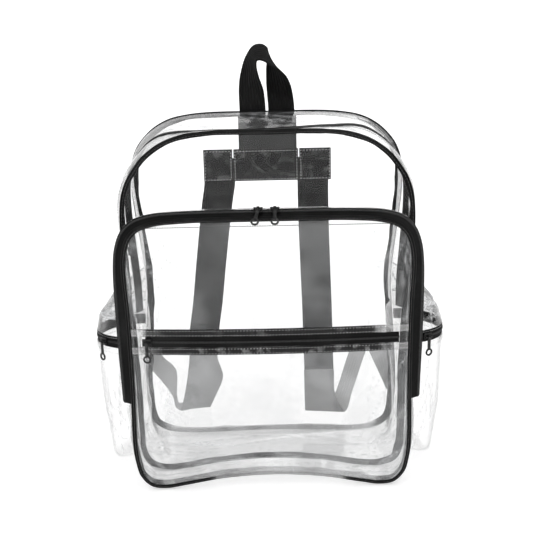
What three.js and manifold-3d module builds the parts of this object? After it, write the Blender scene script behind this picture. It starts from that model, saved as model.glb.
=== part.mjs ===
// A clear vinyl stadium backpack, standing on its base and seen empty. All lengths are in millimetres.
// X runs to the wearer's right as seen from the front, Y to the back panel and Z up.
// While it is built, Y is 0 halfway through the main compartment; the last lines centre the whole bag.
import * as THREE from 'three';
import { mergeVertices } from 'three/addons/utils/BufferGeometryUtils.js';
import Module from 'manifold-3d';

const wasm = await Module();
wasm.setup();

// Driving sizes of the bag
const BODY_HEIGHT = 400;
const BODY_HALF_WIDTH = 161;
const BODY_DEPTH = 104;
const POCKET_HEIGHT = 312.5;
const POCKET_STEP_IN = 4.2;
const POCKET_HALF_WIDTH = BODY_HALF_WIDTH - POCKET_STEP_IN;
const POCKET_DEPTH = 45;
const POCKET_BULGE = 8;
const POCKET_FLARE = 13.4;
const SIDE_POCKET_HEIGHT = 222;
const SIDE_POCKET_BULGE = 47.5;
const TOP_SAG = 11;

// Sheet, trim and seam sizes
const VINYL = 1;
const SEAM_GAP = 0.3;
const BINDING_WIDTH = 5;
const BINDING_DEPTH = 4.6;
const BINDING_PROUD = 0.7;
const EDGE_INSET = 1;

// Zips
const ZIP_WIDTH = 15;
const ZIP_RIDGE = 0.8;
const MAIN_ZIP_END = 182;
const POCKET_ZIP_END = 102;
const POCKET_ZIP_PEAK = 0.7;
const SIDE_ZIP_SHARE = 2 / 3;
const SIDE_ZIP_UP = SIDE_POCKET_HEIGHT * SIDE_ZIP_SHARE;
const SIDE_ZIP_WIDTH = 13;
const LOWER_ZIP_UP = 177;
const LOWER_ZIP_WIDTH = 12;
const LOWER_ZIP_SHORT = { left: 22.8, right: 17.8 };
const LOWER_ZIP_LEFT = LOWER_ZIP_SHORT.left - POCKET_HALF_WIDTH;
const LOWER_ZIP_RIGHT = POCKET_HALF_WIDTH - LOWER_ZIP_SHORT.right;
const FACING_WIDTH = 8.5;
const FACING_THICKNESS = 1.6;
const BACKING_DROP = 6.5;
const BACKING_UP = POCKET_HEIGHT - BACKING_DROP;

// Webbing and straps
const STRAP_WIDTH = 36;
const STRAP_THICKNESS = 2;
const STRAP_BOW = 11;
const WEBBING_THICKNESS = 1.6;
const HANDLE_WIDTH = 30;
const HANDLE_RISE = 74;
const HANDLE_LEG_GAP = 3;
const HANDLE_SPREAD = HANDLE_WIDTH + HANDLE_LEG_GAP;
const HANDLE_MIDDLE = 2;
const PATCH_MARGIN = 2;
const PATCH_WIDTH = HANDLE_SPREAD + HANDLE_WIDTH + 2 * PATCH_MARGIN;
const PATCH_DROP = 0.7;
const PATCH_THICKNESS = 1.2;
const YOKE_WIDTH = 148;
const YOKE_HEIGHT = 37;
const YOKE_MIDDLE = 1;
const YOKE_DROP = 45;

// Sliders and their pull tabs
const SLIDER_LENGTH = 10;
const SLIDER_WIDTH = 8;
const SLIDER_HEIGHT = 2;
const SLIDER_LIFT = 0.4;
const POST_LENGTH = 1.4;
const POST_WIDTH = 2;
const POST_INSET = 0.6;
const BAR_RADIUS = 0.7;
const EYE_GAP = 0.35;
const EYE_WALL = 0.8;
const EYE_LENGTH = 3.2;
const PULL_THICKNESS = 1.2;
const PULL_LENGTH = 18;
const PULL_NECK = 3.6;
const PULL_RING_RADIUS = 4.5;
const PULL_HOLE_RADIUS = 2.6;

// Where the sliders stand: across the pocket's top and how far each pull there splays, in radians, then
// along the straight zip, as a share of each side zip and above the side pockets on the main zip
const POCKET_SLIDERS = {
  left: { across: -9.8, splay: 0.2 },
  right: { across: 7.9, splay: 0.02 },
};
const LOWER_SLIDER_ALONG = 2;
const SIDE_SLIDER_ALONG = { left: 0.235, right: 0.15 };
const HIDDEN_SLIDER_ABOVE = 50;

// How finely the curves are stepped. A span of an outline that turns by more than the bend, in degrees, is
// halved.
const BEND_TO_HALVE = 11;
const SIDE_POCKET_STEPS = 12;
const ROUND_STEPS = 6;
const SMALL_STEP = 1e-3;

// Half outlines from the bottom middle to the top middle. across is a share of the half width and up a share
// of the height; flare, where given, is how far the pocket's zip stands out, as a share of the full flare.
const FRONT_OUTLINE = [
  { across: 0, up: 0.03 },
  { across: 0.373, up: 0.02 },
  { across: 0.621, up: 0.003 },
  { across: 0.78, up: 0.001 },
  { across: 0.89, up: 0.018 },
  { across: 0.935, up: 0.055 },
  { across: 0.945, up: 0.12 },
  { across: 0.95, up: 0.25 },
  { across: 0.963, up: 0.4 },
  { across: 0.982, up: 0.55 },
  { across: 1, up: 0.712 },
  { across: 0.994, up: 0.787 },
  { across: 0.963, up: 0.843 },
  { across: 0.913, up: 0.88 },
  { across: 0.826, up: 0.925 },
  { across: 0.714, up: 0.958 },
  { across: 0.571, up: 0.98 },
  { across: 0.373, up: 0.99 },
  { across: 0, up: 0.99 },
];
const BACK_OUTLINE = [
  { across: 0, up: 0.004 },
  { across: 0.373, up: 0.001 },
  { across: 0.621, up: 0 },
  { across: 0.795, up: 0.008 },
  { across: 0.894, up: 0.033 },
  { across: 0.935, up: 0.07 },
  { across: 0.95, up: 0.13 },
  { across: 0.944, up: 0.25 },
  { across: 0.922, up: 0.39 },
  { across: 0.91, up: 0.5 },
  { across: 0.935, up: 0.6 },
  { across: 0.969, up: 0.712 },
  { across: 0.984, up: 0.795 },
  { across: 0.966, up: 0.866 },
  { across: 0.907, up: 0.915 },
  { across: 0.814, up: 0.954 },
  { across: 0.702, up: 0.98 },
  { across: 0.528, up: 0.996 },
  { across: 0, up: 1 },
];
const POCKET_OUTLINE = [
  { across: 0, up: 0.045, flare: 0 },
  { across: 0.35, up: 0.034, flare: 0 },
  { across: 0.625, up: 0.01, flare: 0 },
  { across: 0.755, up: 0, flare: 0 },
  { across: 0.867, up: 0.008, flare: 0.05 },
  { across: 0.94, up: 0.045, flare: 0.3 },
  { across: 0.972, up: 0.1, flare: 0.6 },
  { across: 0.986, up: 0.18, flare: 0.75 },
  { across: 0.982, up: 0.35, flare: 0.88 },
  { across: 0.982, up: 0.52, flare: 1 },
  { across: 0.988, up: 0.69, flare: 1 },
  { across: 1, up: 0.82, flare: 0.82 },
  { across: 0.989, up: 0.885, flare: 0.75 },
  { across: 0.955, up: 0.935, flare: 0.68 },
  { across: 0.895, up: 0.967, flare: 0.6 },
  { across: 0.785, up: 0.988, flare: 0.5 },
  { across: 0.63, up: 0.997, flare: 0.42 },
  { across: 0.4, up: 1, flare: 0.41 },
  { across: 0, up: 1, flare: 0.41 },
];

// Side pocket sections from the seam under the base corner up to the top seam. edge and middle are heights
// as shares of the side pocket's height, at its front and rear seams and halfway between; out is its bulge.
const SIDE_POCKET_BODY = [
  { edge: 0.1, middle: 0.1, out: 0.015 },
  { edge: 0.112, middle: 0.03, out: 0.42 },
  { edge: 0.128, middle: 0.008, out: 0.68 },
  { edge: 0.16, middle: 0.03, out: 0.82 },
  { edge: 0.27, middle: 0.2, out: 0.88 },
  { edge: 0.48, middle: 0.46, out: 0.95 },
];
const SIDE_POCKET_DOME = [
  { edge: 0.79, middle: 0.78, out: 0.93 },
  { edge: 0.84, middle: 0.835, out: 0.79 },
  { edge: 0.92, middle: 0.9, out: 0.58 },
  { edge: 0.98, middle: 0.965, out: 0.3 },
  { edge: 1, middle: 1, out: 0.015 },
];

// The grab handle from its left foot to its right: along is a share of the spread, up of the rise, and
// turn is how far the webbing has twisted from facing back, in degrees.
const HANDLE_SECTIONS = [
  { along: -0.5, up: -0.55, turn: 0 },
  { along: -0.5, up: 0, turn: 0 },
  { along: -0.53, up: 0.3, turn: -22 },
  { along: -0.56, up: 0.55, turn: -55 },
  { along: -0.51, up: 0.82, turn: -80 },
  { along: -0.36, up: 0.97, turn: -90 },
  { along: -0.14, up: 0.965, turn: -90 },
  { along: 0.12, up: 0.87, turn: -84 },
  { along: 0.33, up: 0.7, turn: -70 },
  { along: 0.46, up: 0.48, turn: -48 },
  { along: 0.5, up: 0.26, turn: -24 },
  { along: 0.5, up: 0, turn: 0 },
  { along: 0.5, up: -0.55, turn: 0 },
];

// Shoulder straps from under the yoke down: across is the strap's middle as a share of the half width, up
// a share of the body height, and out the share of the bow by which it hangs off the back panel.
const STRAP_SECTIONS = {
  left: [
    { across: -0.329, up: 0.862, out: 0 },
    { across: -0.342, up: 0.785, out: 0 },
    { across: -0.36, up: 0.74, out: 0.3 },
    { across: -0.385, up: 0.672, out: 0.75 },
    { across: -0.43, up: 0.53, out: 1 },
    { across: -0.465, up: 0.41, out: 0.95 },
    { across: -0.497, up: 0.325, out: 0.8 },
    { across: -0.51, up: 0.262, out: 0.65 },
  ],
  right: [
    { across: 0.335, up: 0.862, out: 0 },
    { across: 0.335, up: 0.785, out: 0 },
    { across: 0.336, up: 0.74, out: 0.3 },
    { across: 0.34, up: 0.665, out: 0.75 },
    { across: 0.35, up: 0.53, out: 1 },
    { across: 0.36, up: 0.4, out: 0.95 },
    { across: 0.366, up: 0.28, out: 0.75 },
    { across: 0.372, up: 0.18, out: 0.6 },
  ],
};

// The single-layer strap ends, sewn inside the straps, and the webbing that rises from them and drops to the
// base corners, as the two edges of each section in shares of the half width and the body height. out is how
// far a section of webbing lies off the back binding, as a share of how far its start does.
const STRAP_END_EDGES = {
  left: [
    { in_across: -0.405, in_up: 0.275, out_across: -0.613, out_up: 0.275 },
    { in_across: -0.402, in_up: 0.235, out_across: -0.62, out_up: 0.235 },
    { in_across: -0.367, in_up: 0.175, out_across: -0.64, out_up: 0.175 },
    { in_across: -0.43, in_up: 0.11, out_across: -0.672, out_up: 0.11 },
    { in_across: -0.472, in_up: 0.074, out_across: -0.7, out_up: 0.066 },
  ],
  right: [
    { in_across: 0.256, in_up: 0.192, out_across: 0.485, out_up: 0.192 },
    { in_across: 0.258, in_up: 0.11, out_across: 0.494, out_up: 0.11 },
    { in_across: 0.26, in_up: 0.056, out_across: 0.56, out_up: 0.048 },
  ],
};
const WEBBING_EDGES = {
  left: [
    { in_across: -0.6, in_up: 0.1, out_across: -0.6, out_up: 0.07, out: 1 },
    { in_across: -0.69, in_up: 0.088, out_across: -0.69, out_up: 0.06, out: 1 },
    { in_across: -0.715, in_up: 0.088, out_across: -0.738, out_up: 0.07, out: 1.04 },
    { in_across: -0.728, in_up: 0.112, out_across: -0.765, out_up: 0.112, out: 1.08 },
    { in_across: -0.727, in_up: 0.198, out_across: -0.9, out_up: 0.192, out: 1.06 },
    { in_across: -0.82, in_up: 0.243, out_across: -0.952, out_up: 0.217, out: 0.95 },
    { in_across: -0.86, in_up: 0.275, out_across: -0.95, out_up: 0.262, out: 0.8 },
    { in_across: -0.9, in_up: 0.24, out_across: -0.938, out_up: 0.236, out: 0.5 },
    { in_across: -0.905, in_up: 0.13, out_across: -0.938, out_up: 0.13, out: 0.23 },
  ],
  right: [
    { in_across: 0.38, in_up: 0.075, out_across: 0.5, out_up: 0.05, out: 1 },
    { in_across: 0.455, in_up: 0.085, out_across: 0.571, out_up: 0.047, out: 1 },
    { in_across: 0.497, in_up: 0.113, out_across: 0.628, out_up: 0.115, out: 1.04 },
    { in_across: 0.602, in_up: 0.245, out_across: 0.727, out_up: 0.243, out: 1.12 },
    { in_across: 0.665, in_up: 0.3, out_across: 0.738, out_up: 0.253, out: 1.08 },
    { in_across: 0.795, in_up: 0.305, out_across: 0.745, out_up: 0.253, out: 1 },
    { in_across: 0.888, in_up: 0.278, out_across: 0.755, out_up: 0.247, out: 0.85 },
    { in_across: 0.912, in_up: 0.243, out_across: 0.785, out_up: 0.22, out: 0.65 },
    { in_across: 0.92, in_up: 0.188, out_across: 0.84, out_up: 0.17, out: 0.4 },
    { in_across: 0.925, in_up: 0.127, out_across: 0.885, out_up: 0.127, out: 0 },
  ],
};

// Planes worked out from the sizes above
const BACK_PLANE = BODY_DEPTH / 2;
const FRONT_PLANE = -BODY_DEPTH / 2;
const POCKET_PLANE = FRONT_PLANE - POCKET_DEPTH;
const BEHIND_BAG = BACK_PLANE + BINDING_PROUD + SEAM_GAP;

const clearVinyl = new THREE.MeshStandardMaterial({
  color: 0xeef1f3, roughness: 0.08, metalness: 0, transparent: true, opacity: 0.3,
});
const blackTape = new THREE.MeshStandardMaterial({ color: 0x141414, roughness: 0.75, metalness: 0 });
const blackBinding = new THREE.MeshStandardMaterial({ color: 0x181818, roughness: 0.55, metalness: 0 });
const blackFacing = new THREE.MeshStandardMaterial({ color: 0x202020, roughness: 0.3, metalness: 0 });
const greyWebbing = new THREE.MeshStandardMaterial({ color: 0x55575a, roughness: 0.85, metalness: 0 });
const blackWebbing = new THREE.MeshStandardMaterial({ color: 0x1a1a1c, roughness: 0.85, metalness: 0 });
const blackMetal = new THREE.MeshStandardMaterial({ color: 0x111111, roughness: 0.35, metalness: 0.6 });

const bag = new THREE.Group();

function place(name, geometry, material) {
  const mesh = new THREE.Mesh(geometry, material);
  mesh.name = name;
  bag.add(mesh);
  return mesh;
}

// A closed geometry from its corners and triangles, turned so that its faces point out
function closedGeometry(corners, triangles) {
  let volume = 0;
  for (const [a, b, c] of triangles) {
    volume += corners[a].dot(new THREE.Vector3().crossVectors(corners[b], corners[c])) / 6;
  }
  const order = volume < 0 ? triangles.map(([a, b, c]) => [a, c, b]) : triangles;
  const geometry = new THREE.BufferGeometry();
  geometry.setAttribute('position', new THREE.Float32BufferAttribute(corners.flatMap((p) => p.toArray()), 3));
  geometry.setIndex(order.flat());
  return geometry;
}

// A wall between an outer and an inner skin. Each skin is a list of sections, and each section a list of
// points from one edge of the wall to the other. A looped wall joins its last section to its first.
function wallGeometry(outer, inner, looped) {
  const sections = outer.length;
  const across = outer[0].length;
  const corners = [...outer.flat(), ...inner.flat()];
  const outside = (i, j) => (i % sections) * across + j;
  const inside = (i, j) => sections * across + outside(i, j);
  const triangles = [];
  const quad = (a, b, c, d) => triangles.push([a, b, c], [a, c, d]);
  const last = looped ? sections : sections - 1;
  for (let i = 0; i < last; i += 1) {
    for (let j = 0; j < across - 1; j += 1) {
      quad(outside(i, j), outside(i + 1, j), outside(i + 1, j + 1), outside(i, j + 1));
      quad(inside(i, j), inside(i, j + 1), inside(i + 1, j + 1), inside(i + 1, j));
    }
    const edge = across - 1;
    quad(outside(i, 0), inside(i, 0), inside(i + 1, 0), outside(i + 1, 0));
    quad(outside(i, edge), outside(i + 1, edge), inside(i + 1, edge), inside(i, edge));
  }
  if (!looped) {
    for (let j = 0; j < across - 1; j += 1) {
      quad(outside(0, j), outside(0, j + 1), inside(0, j + 1), inside(0, j));
      quad(outside(last, j), inside(last, j), inside(last, j + 1), outside(last, j + 1));
    }
  }
  return closedGeometry(corners, triangles);
}

// A closed outline in the XZ plane through a half table and its mirror image, from the bottom middle round
// by the right side. at gives x, the flare and z in a vector's x, y and z, and out the way out of it.
function outlineOf(rows, halfWidth, height) {
  const half = rows.map((row) => new THREE.Vector3(
    row.across * halfWidth, (row.flare ?? 0) * POCKET_FLARE, row.up * height));
  const mirrored = half.slice(1, -1).reverse().map((p) => new THREE.Vector3(-p.x, p.y, p.z));
  const points = [...half, ...mirrored];
  const curve = new THREE.CatmullRomCurve3(points, true, 'centripetal');
  const wrap = (along) => (along + 1) % 1;
  const at = (along) => curve.getPoint(wrap(along));
  const out = (along) => {
    const step = curve.getPoint(wrap(along + 1e-4)).sub(curve.getPoint(wrap(along - 1e-4)));
    return new THREE.Vector3(step.z, 0, -step.x).normalize();
  };
  const stations = points.flatMap((_, i) => {
    const from = i / points.length;
    const to = (i + 1) / points.length;
    const bend = THREE.MathUtils.radToDeg(out(from).angleTo(out(to)));
    return bend > BEND_TO_HALVE ? [from, (from + to) / 2] : [from];
  });
  // Where the right side passes a height, and where the top passes a place across
  const rightSide = [0.14, 0.5];
  const topSide = [0.4, 0.6];
  const alongAt = (up) => placeWhere((along) => at(along).z - up, ...rightSide);
  const alongTopAt = (across) => placeWhere((along) => across - at(along).x, ...topSide);
  return { at, out, stations, alongAt, alongTopAt };
}

// Where a rising function passes zero between two places
function placeWhere(rising, from, to) {
  let low = from;
  let high = to;
  for (let i = 0; i < 40; i += 1) {
    const middle = (low + high) / 2;
    if (rising(middle) < 0) {
      low = middle;
    } else {
      high = middle;
    }
  }
  return (low + high) / 2;
}

const frontOutline = outlineOf(FRONT_OUTLINE, BODY_HALF_WIDTH, BODY_HEIGHT);
const backOutline = outlineOf(BACK_OUTLINE, BODY_HALF_WIDTH, BODY_HEIGHT);
const pocketOutline = outlineOf(POCKET_OUTLINE, POCKET_HALF_WIDTH, POCKET_HEIGHT);

// The point of an outline moved inwards, in the plane at the depth y
function insetPoint(outline, along, inset, y) {
  const p = outline.at(along);
  const n = outline.out(along);
  return new THREE.Vector3(p.x - n.x * inset, y, p.z - n.z * inset);
}

// A binding that frames a panel: a square band along the outline, from one depth to another
function bindingGeometry(outline, fromY, toY) {
  const loop = (inset, y) => outline.stations.map((along) => insetPoint(outline, along, inset, y));
  const pair = (a, b) => a.map((p, i) => [p, b[i]]);
  const outer = pair(loop(0, fromY), loop(0, toY));
  const inner = pair(loop(BINDING_WIDTH, fromY), loop(BINDING_WIDTH, toY));
  return wallGeometry(outer, inner, true);
}

// A panel inside its binding. depthAt gives the depth of its face at x and z, and its thickness runs to +Y.
function panelGeometry(outline, height, thickness, inset, rings, depthAt) {
  const middle = new THREE.Vector3(0, 0, height / 2);
  const rim = outline.stations.map((along) => insetPoint(outline, along, inset, 0));
  const face = [];
  for (const share of rings) {
    face.push(...rim.map((p) => middle.clone().lerp(p, share)));
  }
  face.push(middle);
  const count = rim.length;
  const corners = [0, thickness].flatMap((deeper) => face.map(
    (p) => new THREE.Vector3(p.x, depthAt(p.x, p.z) + deeper, p.z)));
  const back = face.length;
  const triangles = [];
  const quad = (a, b, c, d) => triangles.push([a, b, c], [a, c, d]);
  for (let i = 0; i < count; i += 1) {
    const next = (i + 1) % count;
    for (let ring = 0; ring < rings.length - 1; ring += 1) {
      const here = ring * count;
      const inward = here + count;
      quad(here + i, here + next, inward + next, inward + i);
      quad(back + here + i, back + inward + i, back + inward + next, back + here + next);
    }
    const lastRing = (rings.length - 1) * count;
    triangles.push([lastRing + i, lastRing + next, face.length - 1]);
    triangles.push([back + lastRing + next, back + lastRing + i, back + face.length - 1]);
    quad(next, i, back + i, back + next);
  }
  return closedGeometry(corners, triangles);
}

// Booleans on closed geometries
function solidOf(geometry) {
  const bare = geometry.clone();
  bare.deleteAttribute('normal');
  bare.deleteAttribute('uv');
  const merged = mergeVertices(bare);
  return new wasm.Manifold(new wasm.Mesh({
    numProp: 3,
    vertProperties: new Float32Array(merged.attributes.position.array),
    triVerts: new Uint32Array(merged.index.array),
  }));
}

function geometryOf(solid) {
  const mesh = solid.getMesh();
  const geometry = new THREE.BufferGeometry();
  geometry.setAttribute('position', new THREE.BufferAttribute(new Float32Array(mesh.vertProperties), 3));
  geometry.setIndex(new THREE.BufferAttribute(new Uint32Array(mesh.triVerts), 1));
  return geometry;
}

function boxSolid(size, centre) {
  const box = new THREE.BoxGeometry(size.x, size.y, size.z);
  box.translate(centre.x, centre.y, centre.z);
  return solidOf(box);
}

// The stations of an outline between two places, with both of them
function stationsBetween(outline, from, to) {
  const least = 0.002;
  const inside = outline.stations.filter((along) => along > from + least && along < to - least);
  return [from, ...inside, to];
}

// The stations from one place round by the bottom middle to another
function stationsRoundBottom(outline, from, to) {
  const least = 0.002;
  const before = outline.stations.filter((along) => along > from + least);
  const after = outline.stations.filter((along) => along < to - least);
  return [from, ...before, ...after.map((along) => along + 1), to + 1];
}

// A wall that follows a surface. surface(along, across) gives its outer face, and lifts raise that face.
function bandGeometry(surface, alongs, acrosses, lifts, thickness, way) {
  const outer = [];
  const inner = [];
  for (const along of alongs) {
    const outerRow = [];
    const innerRow = [];
    acrosses.forEach((across, j) => {
      const p = surface(along, across);
      const n = surfaceNormal(surface, along, across, way);
      outerRow.push(p.clone().addScaledVector(n, lifts[j]));
      innerRow.push(p.clone().addScaledVector(n, -thickness));
    });
    outer.push(outerRow);
    inner.push(innerRow);
  }
  return wallGeometry(outer, inner, false);
}

// The way along a surface at a place on it, and the way out of it
function surfaceAlong(surface, along, across) {
  return surface(along + SMALL_STEP, across).sub(surface(along - SMALL_STEP, across)).normalize();
}

function surfaceNormal(surface, along, across, way) {
  const acrossStep = surface(along, across + SMALL_STEP).sub(surface(along, across - SMALL_STEP));
  return surfaceAlong(surface, along, across).cross(acrossStep).normalize().multiplyScalar(way);
}

// A zip across a surface from one share to another: two flat tapes with the raised coil between them
const COIL_SHARES = [0, 0.38, 0.42, 0.58, 0.62, 1];
const COIL_LIFTS = [0, 0, ZIP_RIDGE, ZIP_RIDGE, 0, 0];

function zipGeometry(surface, alongs, from, to, way) {
  const acrosses = COIL_SHARES.map((share) => from + share * (to - from));
  return bandGeometry(surface, alongs, acrosses, COIL_LIFTS, VINYL, way);
}

function evenly(from, to, steps) {
  return Array.from({ length: steps + 1 }, (_, i) => from + ((to - from) * i) / steps);
}

// Main compartment

const GUSSET_REAR = BACK_PLANE + BINDING_PROUD - BINDING_DEPTH - SEAM_GAP;
const GUSSET_FRONT = FRONT_PLANE - BINDING_PROUD / 2 + BINDING_DEPTH + SEAM_GAP;
const SAG_REACH = 0.085;
const SAG_MIDDLE = 0.512;

// The side wall of the main compartment, from the back binding at across 0 to the front binding at 1. Its
// top sags between the two, a little left of the middle.
function mainSurface(along, across) {
  const rear = insetPoint(backOutline, along, EDGE_INSET, GUSSET_REAR);
  const front = insetPoint(frontOutline, along, EDGE_INSET, GUSSET_FRONT);
  const p = rear.lerp(front, across);
  const fromTop = Math.min(1, Math.abs((along % 1) - SAG_MIDDLE) / SAG_REACH);
  const sag = Math.cos((fromTop * Math.PI) / 2) ** 2 * Math.sin(Math.PI * across) ** 2;
  p.z -= TOP_SAG * sag;
  return p;
}

function addMainCompartment() {
  const flat = [1];
  const panelInset = BINDING_WIDTH + SEAM_GAP;
  const backDepth = () => BACK_PLANE - VINYL;
  const frontDepth = () => FRONT_PLANE;
  const backPanel = panelGeometry(backOutline, BODY_HEIGHT, VINYL, panelInset, flat, backDepth);
  place('back_panel', backPanel, clearVinyl);
  const frontPanel = panelGeometry(frontOutline, BODY_HEIGHT, VINYL, panelInset, flat, frontDepth);
  place('main_front_panel', frontPanel, clearVinyl);

  const backEdge = BACK_PLANE + BINDING_PROUD;
  place('back_binding', bindingGeometry(backOutline, backEdge, backEdge - BINDING_DEPTH), blackBinding);
  const frontEdge = FRONT_PLANE - BINDING_PROUD / 2;
  place('front_binding', bindingGeometry(frontOutline, frontEdge, frontEdge + BINDING_DEPTH), blackBinding);

  const depth = GUSSET_REAR - GUSSET_FRONT;
  const zipFrom = 0.5 - ZIP_WIDTH / depth / 2;
  const zipTo = 0.5 + ZIP_WIDTH / depth / 2;
  const slit = SEAM_GAP / depth;
  const zipRight = frontOutline.alongAt(MAIN_ZIP_END);
  const upper = stationsBetween(frontOutline, zipRight, 1 - zipRight);
  const strip = (from, to) => {
    return bandGeometry(mainSurface, upper, [from, (from + to) / 2, to], [0, 0, 0], VINYL, 1);
  };
  place('main_gusset_rear', strip(0, zipFrom - slit), clearVinyl);
  place('main_gusset_front', strip(zipTo + slit, 1), clearVinyl);
  place('main_zip', zipGeometry(mainSurface, upper, zipFrom, zipTo, 1), blackTape);

  const belowZip = frontOutline.alongAt(MAIN_ZIP_END - SEAM_GAP);
  const lower = stationsRoundBottom(frontOutline, 1 - belowZip, belowZip);
  const bottom = bandGeometry(mainSurface, lower, [0, 0.5, 1], [0, 0, 0], VINYL, 1);
  place('main_gusset_bottom', bottom, clearVinyl);
}

// Front pocket

const POCKET_REAR = FRONT_PLANE - BINDING_PROUD / 2 - SEAM_GAP;
const POCKET_EDGE = POCKET_PLANE - BINDING_PROUD;
const POCKET_FRONT = POCKET_EDGE + BINDING_DEPTH + SEAM_GAP;
const FLARE_POWER = 1.9;
const LOWER_FLARE = 0.3;

// The side wall of the front pocket, from the main panel at across 0 to the pocket's binding at 1. It
// stands out furthest along the zip's rear edge.
function pocketSurface(flareShare) {
  return (along, across) => {
    const p = pocketOutline.at(along);
    const bump = Math.sin(Math.PI * Math.max(0, Math.min(1, across)) ** FLARE_POWER);
    const outwards = p.y * flareShare * bump - EDGE_INSET;
    const y = POCKET_REAR + (POCKET_FRONT - POCKET_REAR) * across;
    const n = pocketOutline.out(along);
    return new THREE.Vector3(p.x + n.x * outwards, y, p.z + n.z * outwards);
  };
}

// How far the pocket's front panel bulges at x and z
function pocketFaceDepth(x, z) {
  const middle = POCKET_HEIGHT / 2;
  const acrossShare = Math.min(1, (x / POCKET_HALF_WIDTH) ** 2);
  const upShare = Math.min(1, ((z - middle) / middle) ** 2);
  return POCKET_PLANE - POCKET_BULGE * (1 - acrossShare) * (1 - upShare);
}

function addPocketWalls() {
  const frontEdge = POCKET_EDGE;
  place('pocket_binding', bindingGeometry(pocketOutline, frontEdge, frontEdge + BINDING_DEPTH), blackBinding);

  const slit = SEAM_GAP / POCKET_DEPTH;
  const zipRight = pocketOutline.alongAt(POCKET_ZIP_END);
  const upper = stationsBetween(pocketOutline, zipRight, 1 - zipRight);
  const flared = pocketSurface(1);
  const rearAcross = [0, POCKET_ZIP_PEAK / 2, POCKET_ZIP_PEAK - slit];
  place('pocket_gusset_upper', bandGeometry(flared, upper, rearAcross, [0, 0, 0], VINYL, 1), clearVinyl);
  place('pocket_zip', zipGeometry(flared, upper, POCKET_ZIP_PEAK, 1, 1), blackTape);

  const belowZip = pocketOutline.alongAt(POCKET_ZIP_END - SEAM_GAP);
  const lower = stationsRoundBottom(pocketOutline, 1 - belowZip, belowZip);
  const lowerAcross = [0, 0.5, POCKET_ZIP_PEAK, 1];
  const lowerWall = bandGeometry(pocketSurface(LOWER_FLARE), lower, lowerAcross, [0, 0, 0, 0], VINYL, 1);
  place('pocket_gusset_lower', lowerWall, clearVinyl);
}

// The pocket's front panel is one bulged sheet cut across by the straight zip and its two facings
function addPocketFront() {
  const rings = [1, 0.88, 0.6];
  const inset = BINDING_WIDTH + SEAM_GAP;
  const sheet = (thickness, proud) => solidOf(panelGeometry(
    pocketOutline, POCKET_HEIGHT, thickness, inset, rings, (x, z) => pocketFaceDepth(x, z) - proud));
  const reach = 2 * POCKET_HALF_WIDTH;
  const slab = (low, high, left = -reach, right = reach) => boxSolid(
    new THREE.Vector3(right - left, 4 * POCKET_DEPTH, high - low),
    new THREE.Vector3((left + right) / 2, POCKET_PLANE, (low + high) / 2));

  const zipLow = LOWER_ZIP_UP - LOWER_ZIP_WIDTH / 2;
  const zipHigh = LOWER_ZIP_UP + LOWER_ZIP_WIDTH / 2;
  const lowFacing = zipLow - FACING_WIDTH;
  const highFacing = zipHigh + FACING_WIDTH;
  const half = SEAM_GAP / 2;
  const vinyl = sheet(VINYL, 0);
  const proud = (FACING_THICKNESS - VINYL) / 2;
  const thick = sheet(FACING_THICKNESS, proud);
  const cut = (solid, low, high) => geometryOf(solid.intersect(slab(low + half, high - half)));
  place('pocket_upper_panel', cut(vinyl, highFacing, reach), clearVinyl);
  place('pocket_lower_panel', cut(vinyl, -reach, lowFacing), clearVinyl);
  place('lower_zip_facing_upper', cut(thick, zipHigh, highFacing), blackFacing);
  place('lower_zip_facing_lower', cut(thick, lowFacing, zipLow), blackFacing);

  const low = zipLow + half;
  const high = zipHigh - half;
  const left = LOWER_ZIP_LEFT + half;
  const right = LOWER_ZIP_RIGHT - half;
  const coilHalf = (LOWER_ZIP_WIDTH * (COIL_SHARES[3] - COIL_SHARES[2])) / 2;
  const tape = vinyl.intersect(slab(low, high, left, right));
  const coil = sheet(VINYL, ZIP_RIDGE).intersect(
    slab(LOWER_ZIP_UP - coilHalf, LOWER_ZIP_UP + coilHalf, left, right));
  place('lower_pocket_zip', geometryOf(tape.add(coil)), blackTape);
  const endLeft = vinyl.intersect(slab(low, high, -reach, left - SEAM_GAP));
  const endRight = vinyl.intersect(slab(low, high, right + SEAM_GAP, reach));
  place('lower_zip_end_left', geometryOf(endLeft), clearVinyl);
  place('lower_zip_end_right', geometryOf(endRight), clearVinyl);

  const backingInset = BINDING_WIDTH / 2;
  const backingY = POCKET_FRONT;
  const backing = solidOf(panelGeometry(
    pocketOutline, POCKET_HEIGHT, VINYL, backingInset, [1], () => backingY));
  place('pocket_backing_panel', geometryOf(backing.intersect(slab(-reach, BACKING_UP))), clearVinyl);
}

// Side pockets

const SIDE_HALF_DEPTH = (GUSSET_REAR - GUSSET_FRONT) / 2;
const SIDE_MIDDLE_Y = (GUSSET_REAR + GUSSET_FRONT) / 2;
const SIDE_SEAM_TILT = 5.5;
const SIDE_SEAM_GAP = 0.6;

// How far the main compartment's side reaches out at a height and a depth
function mainSideReach(up, y) {
  const rear = backOutline.at(backOutline.alongAt(up)).x;
  const front = frontOutline.at(frontOutline.alongAt(up)).x;
  const share = (GUSSET_REAR - y) / (GUSSET_REAR - GUSSET_FRONT);
  return rear + (front - rear) * share - EDGE_INSET;
}

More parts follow.
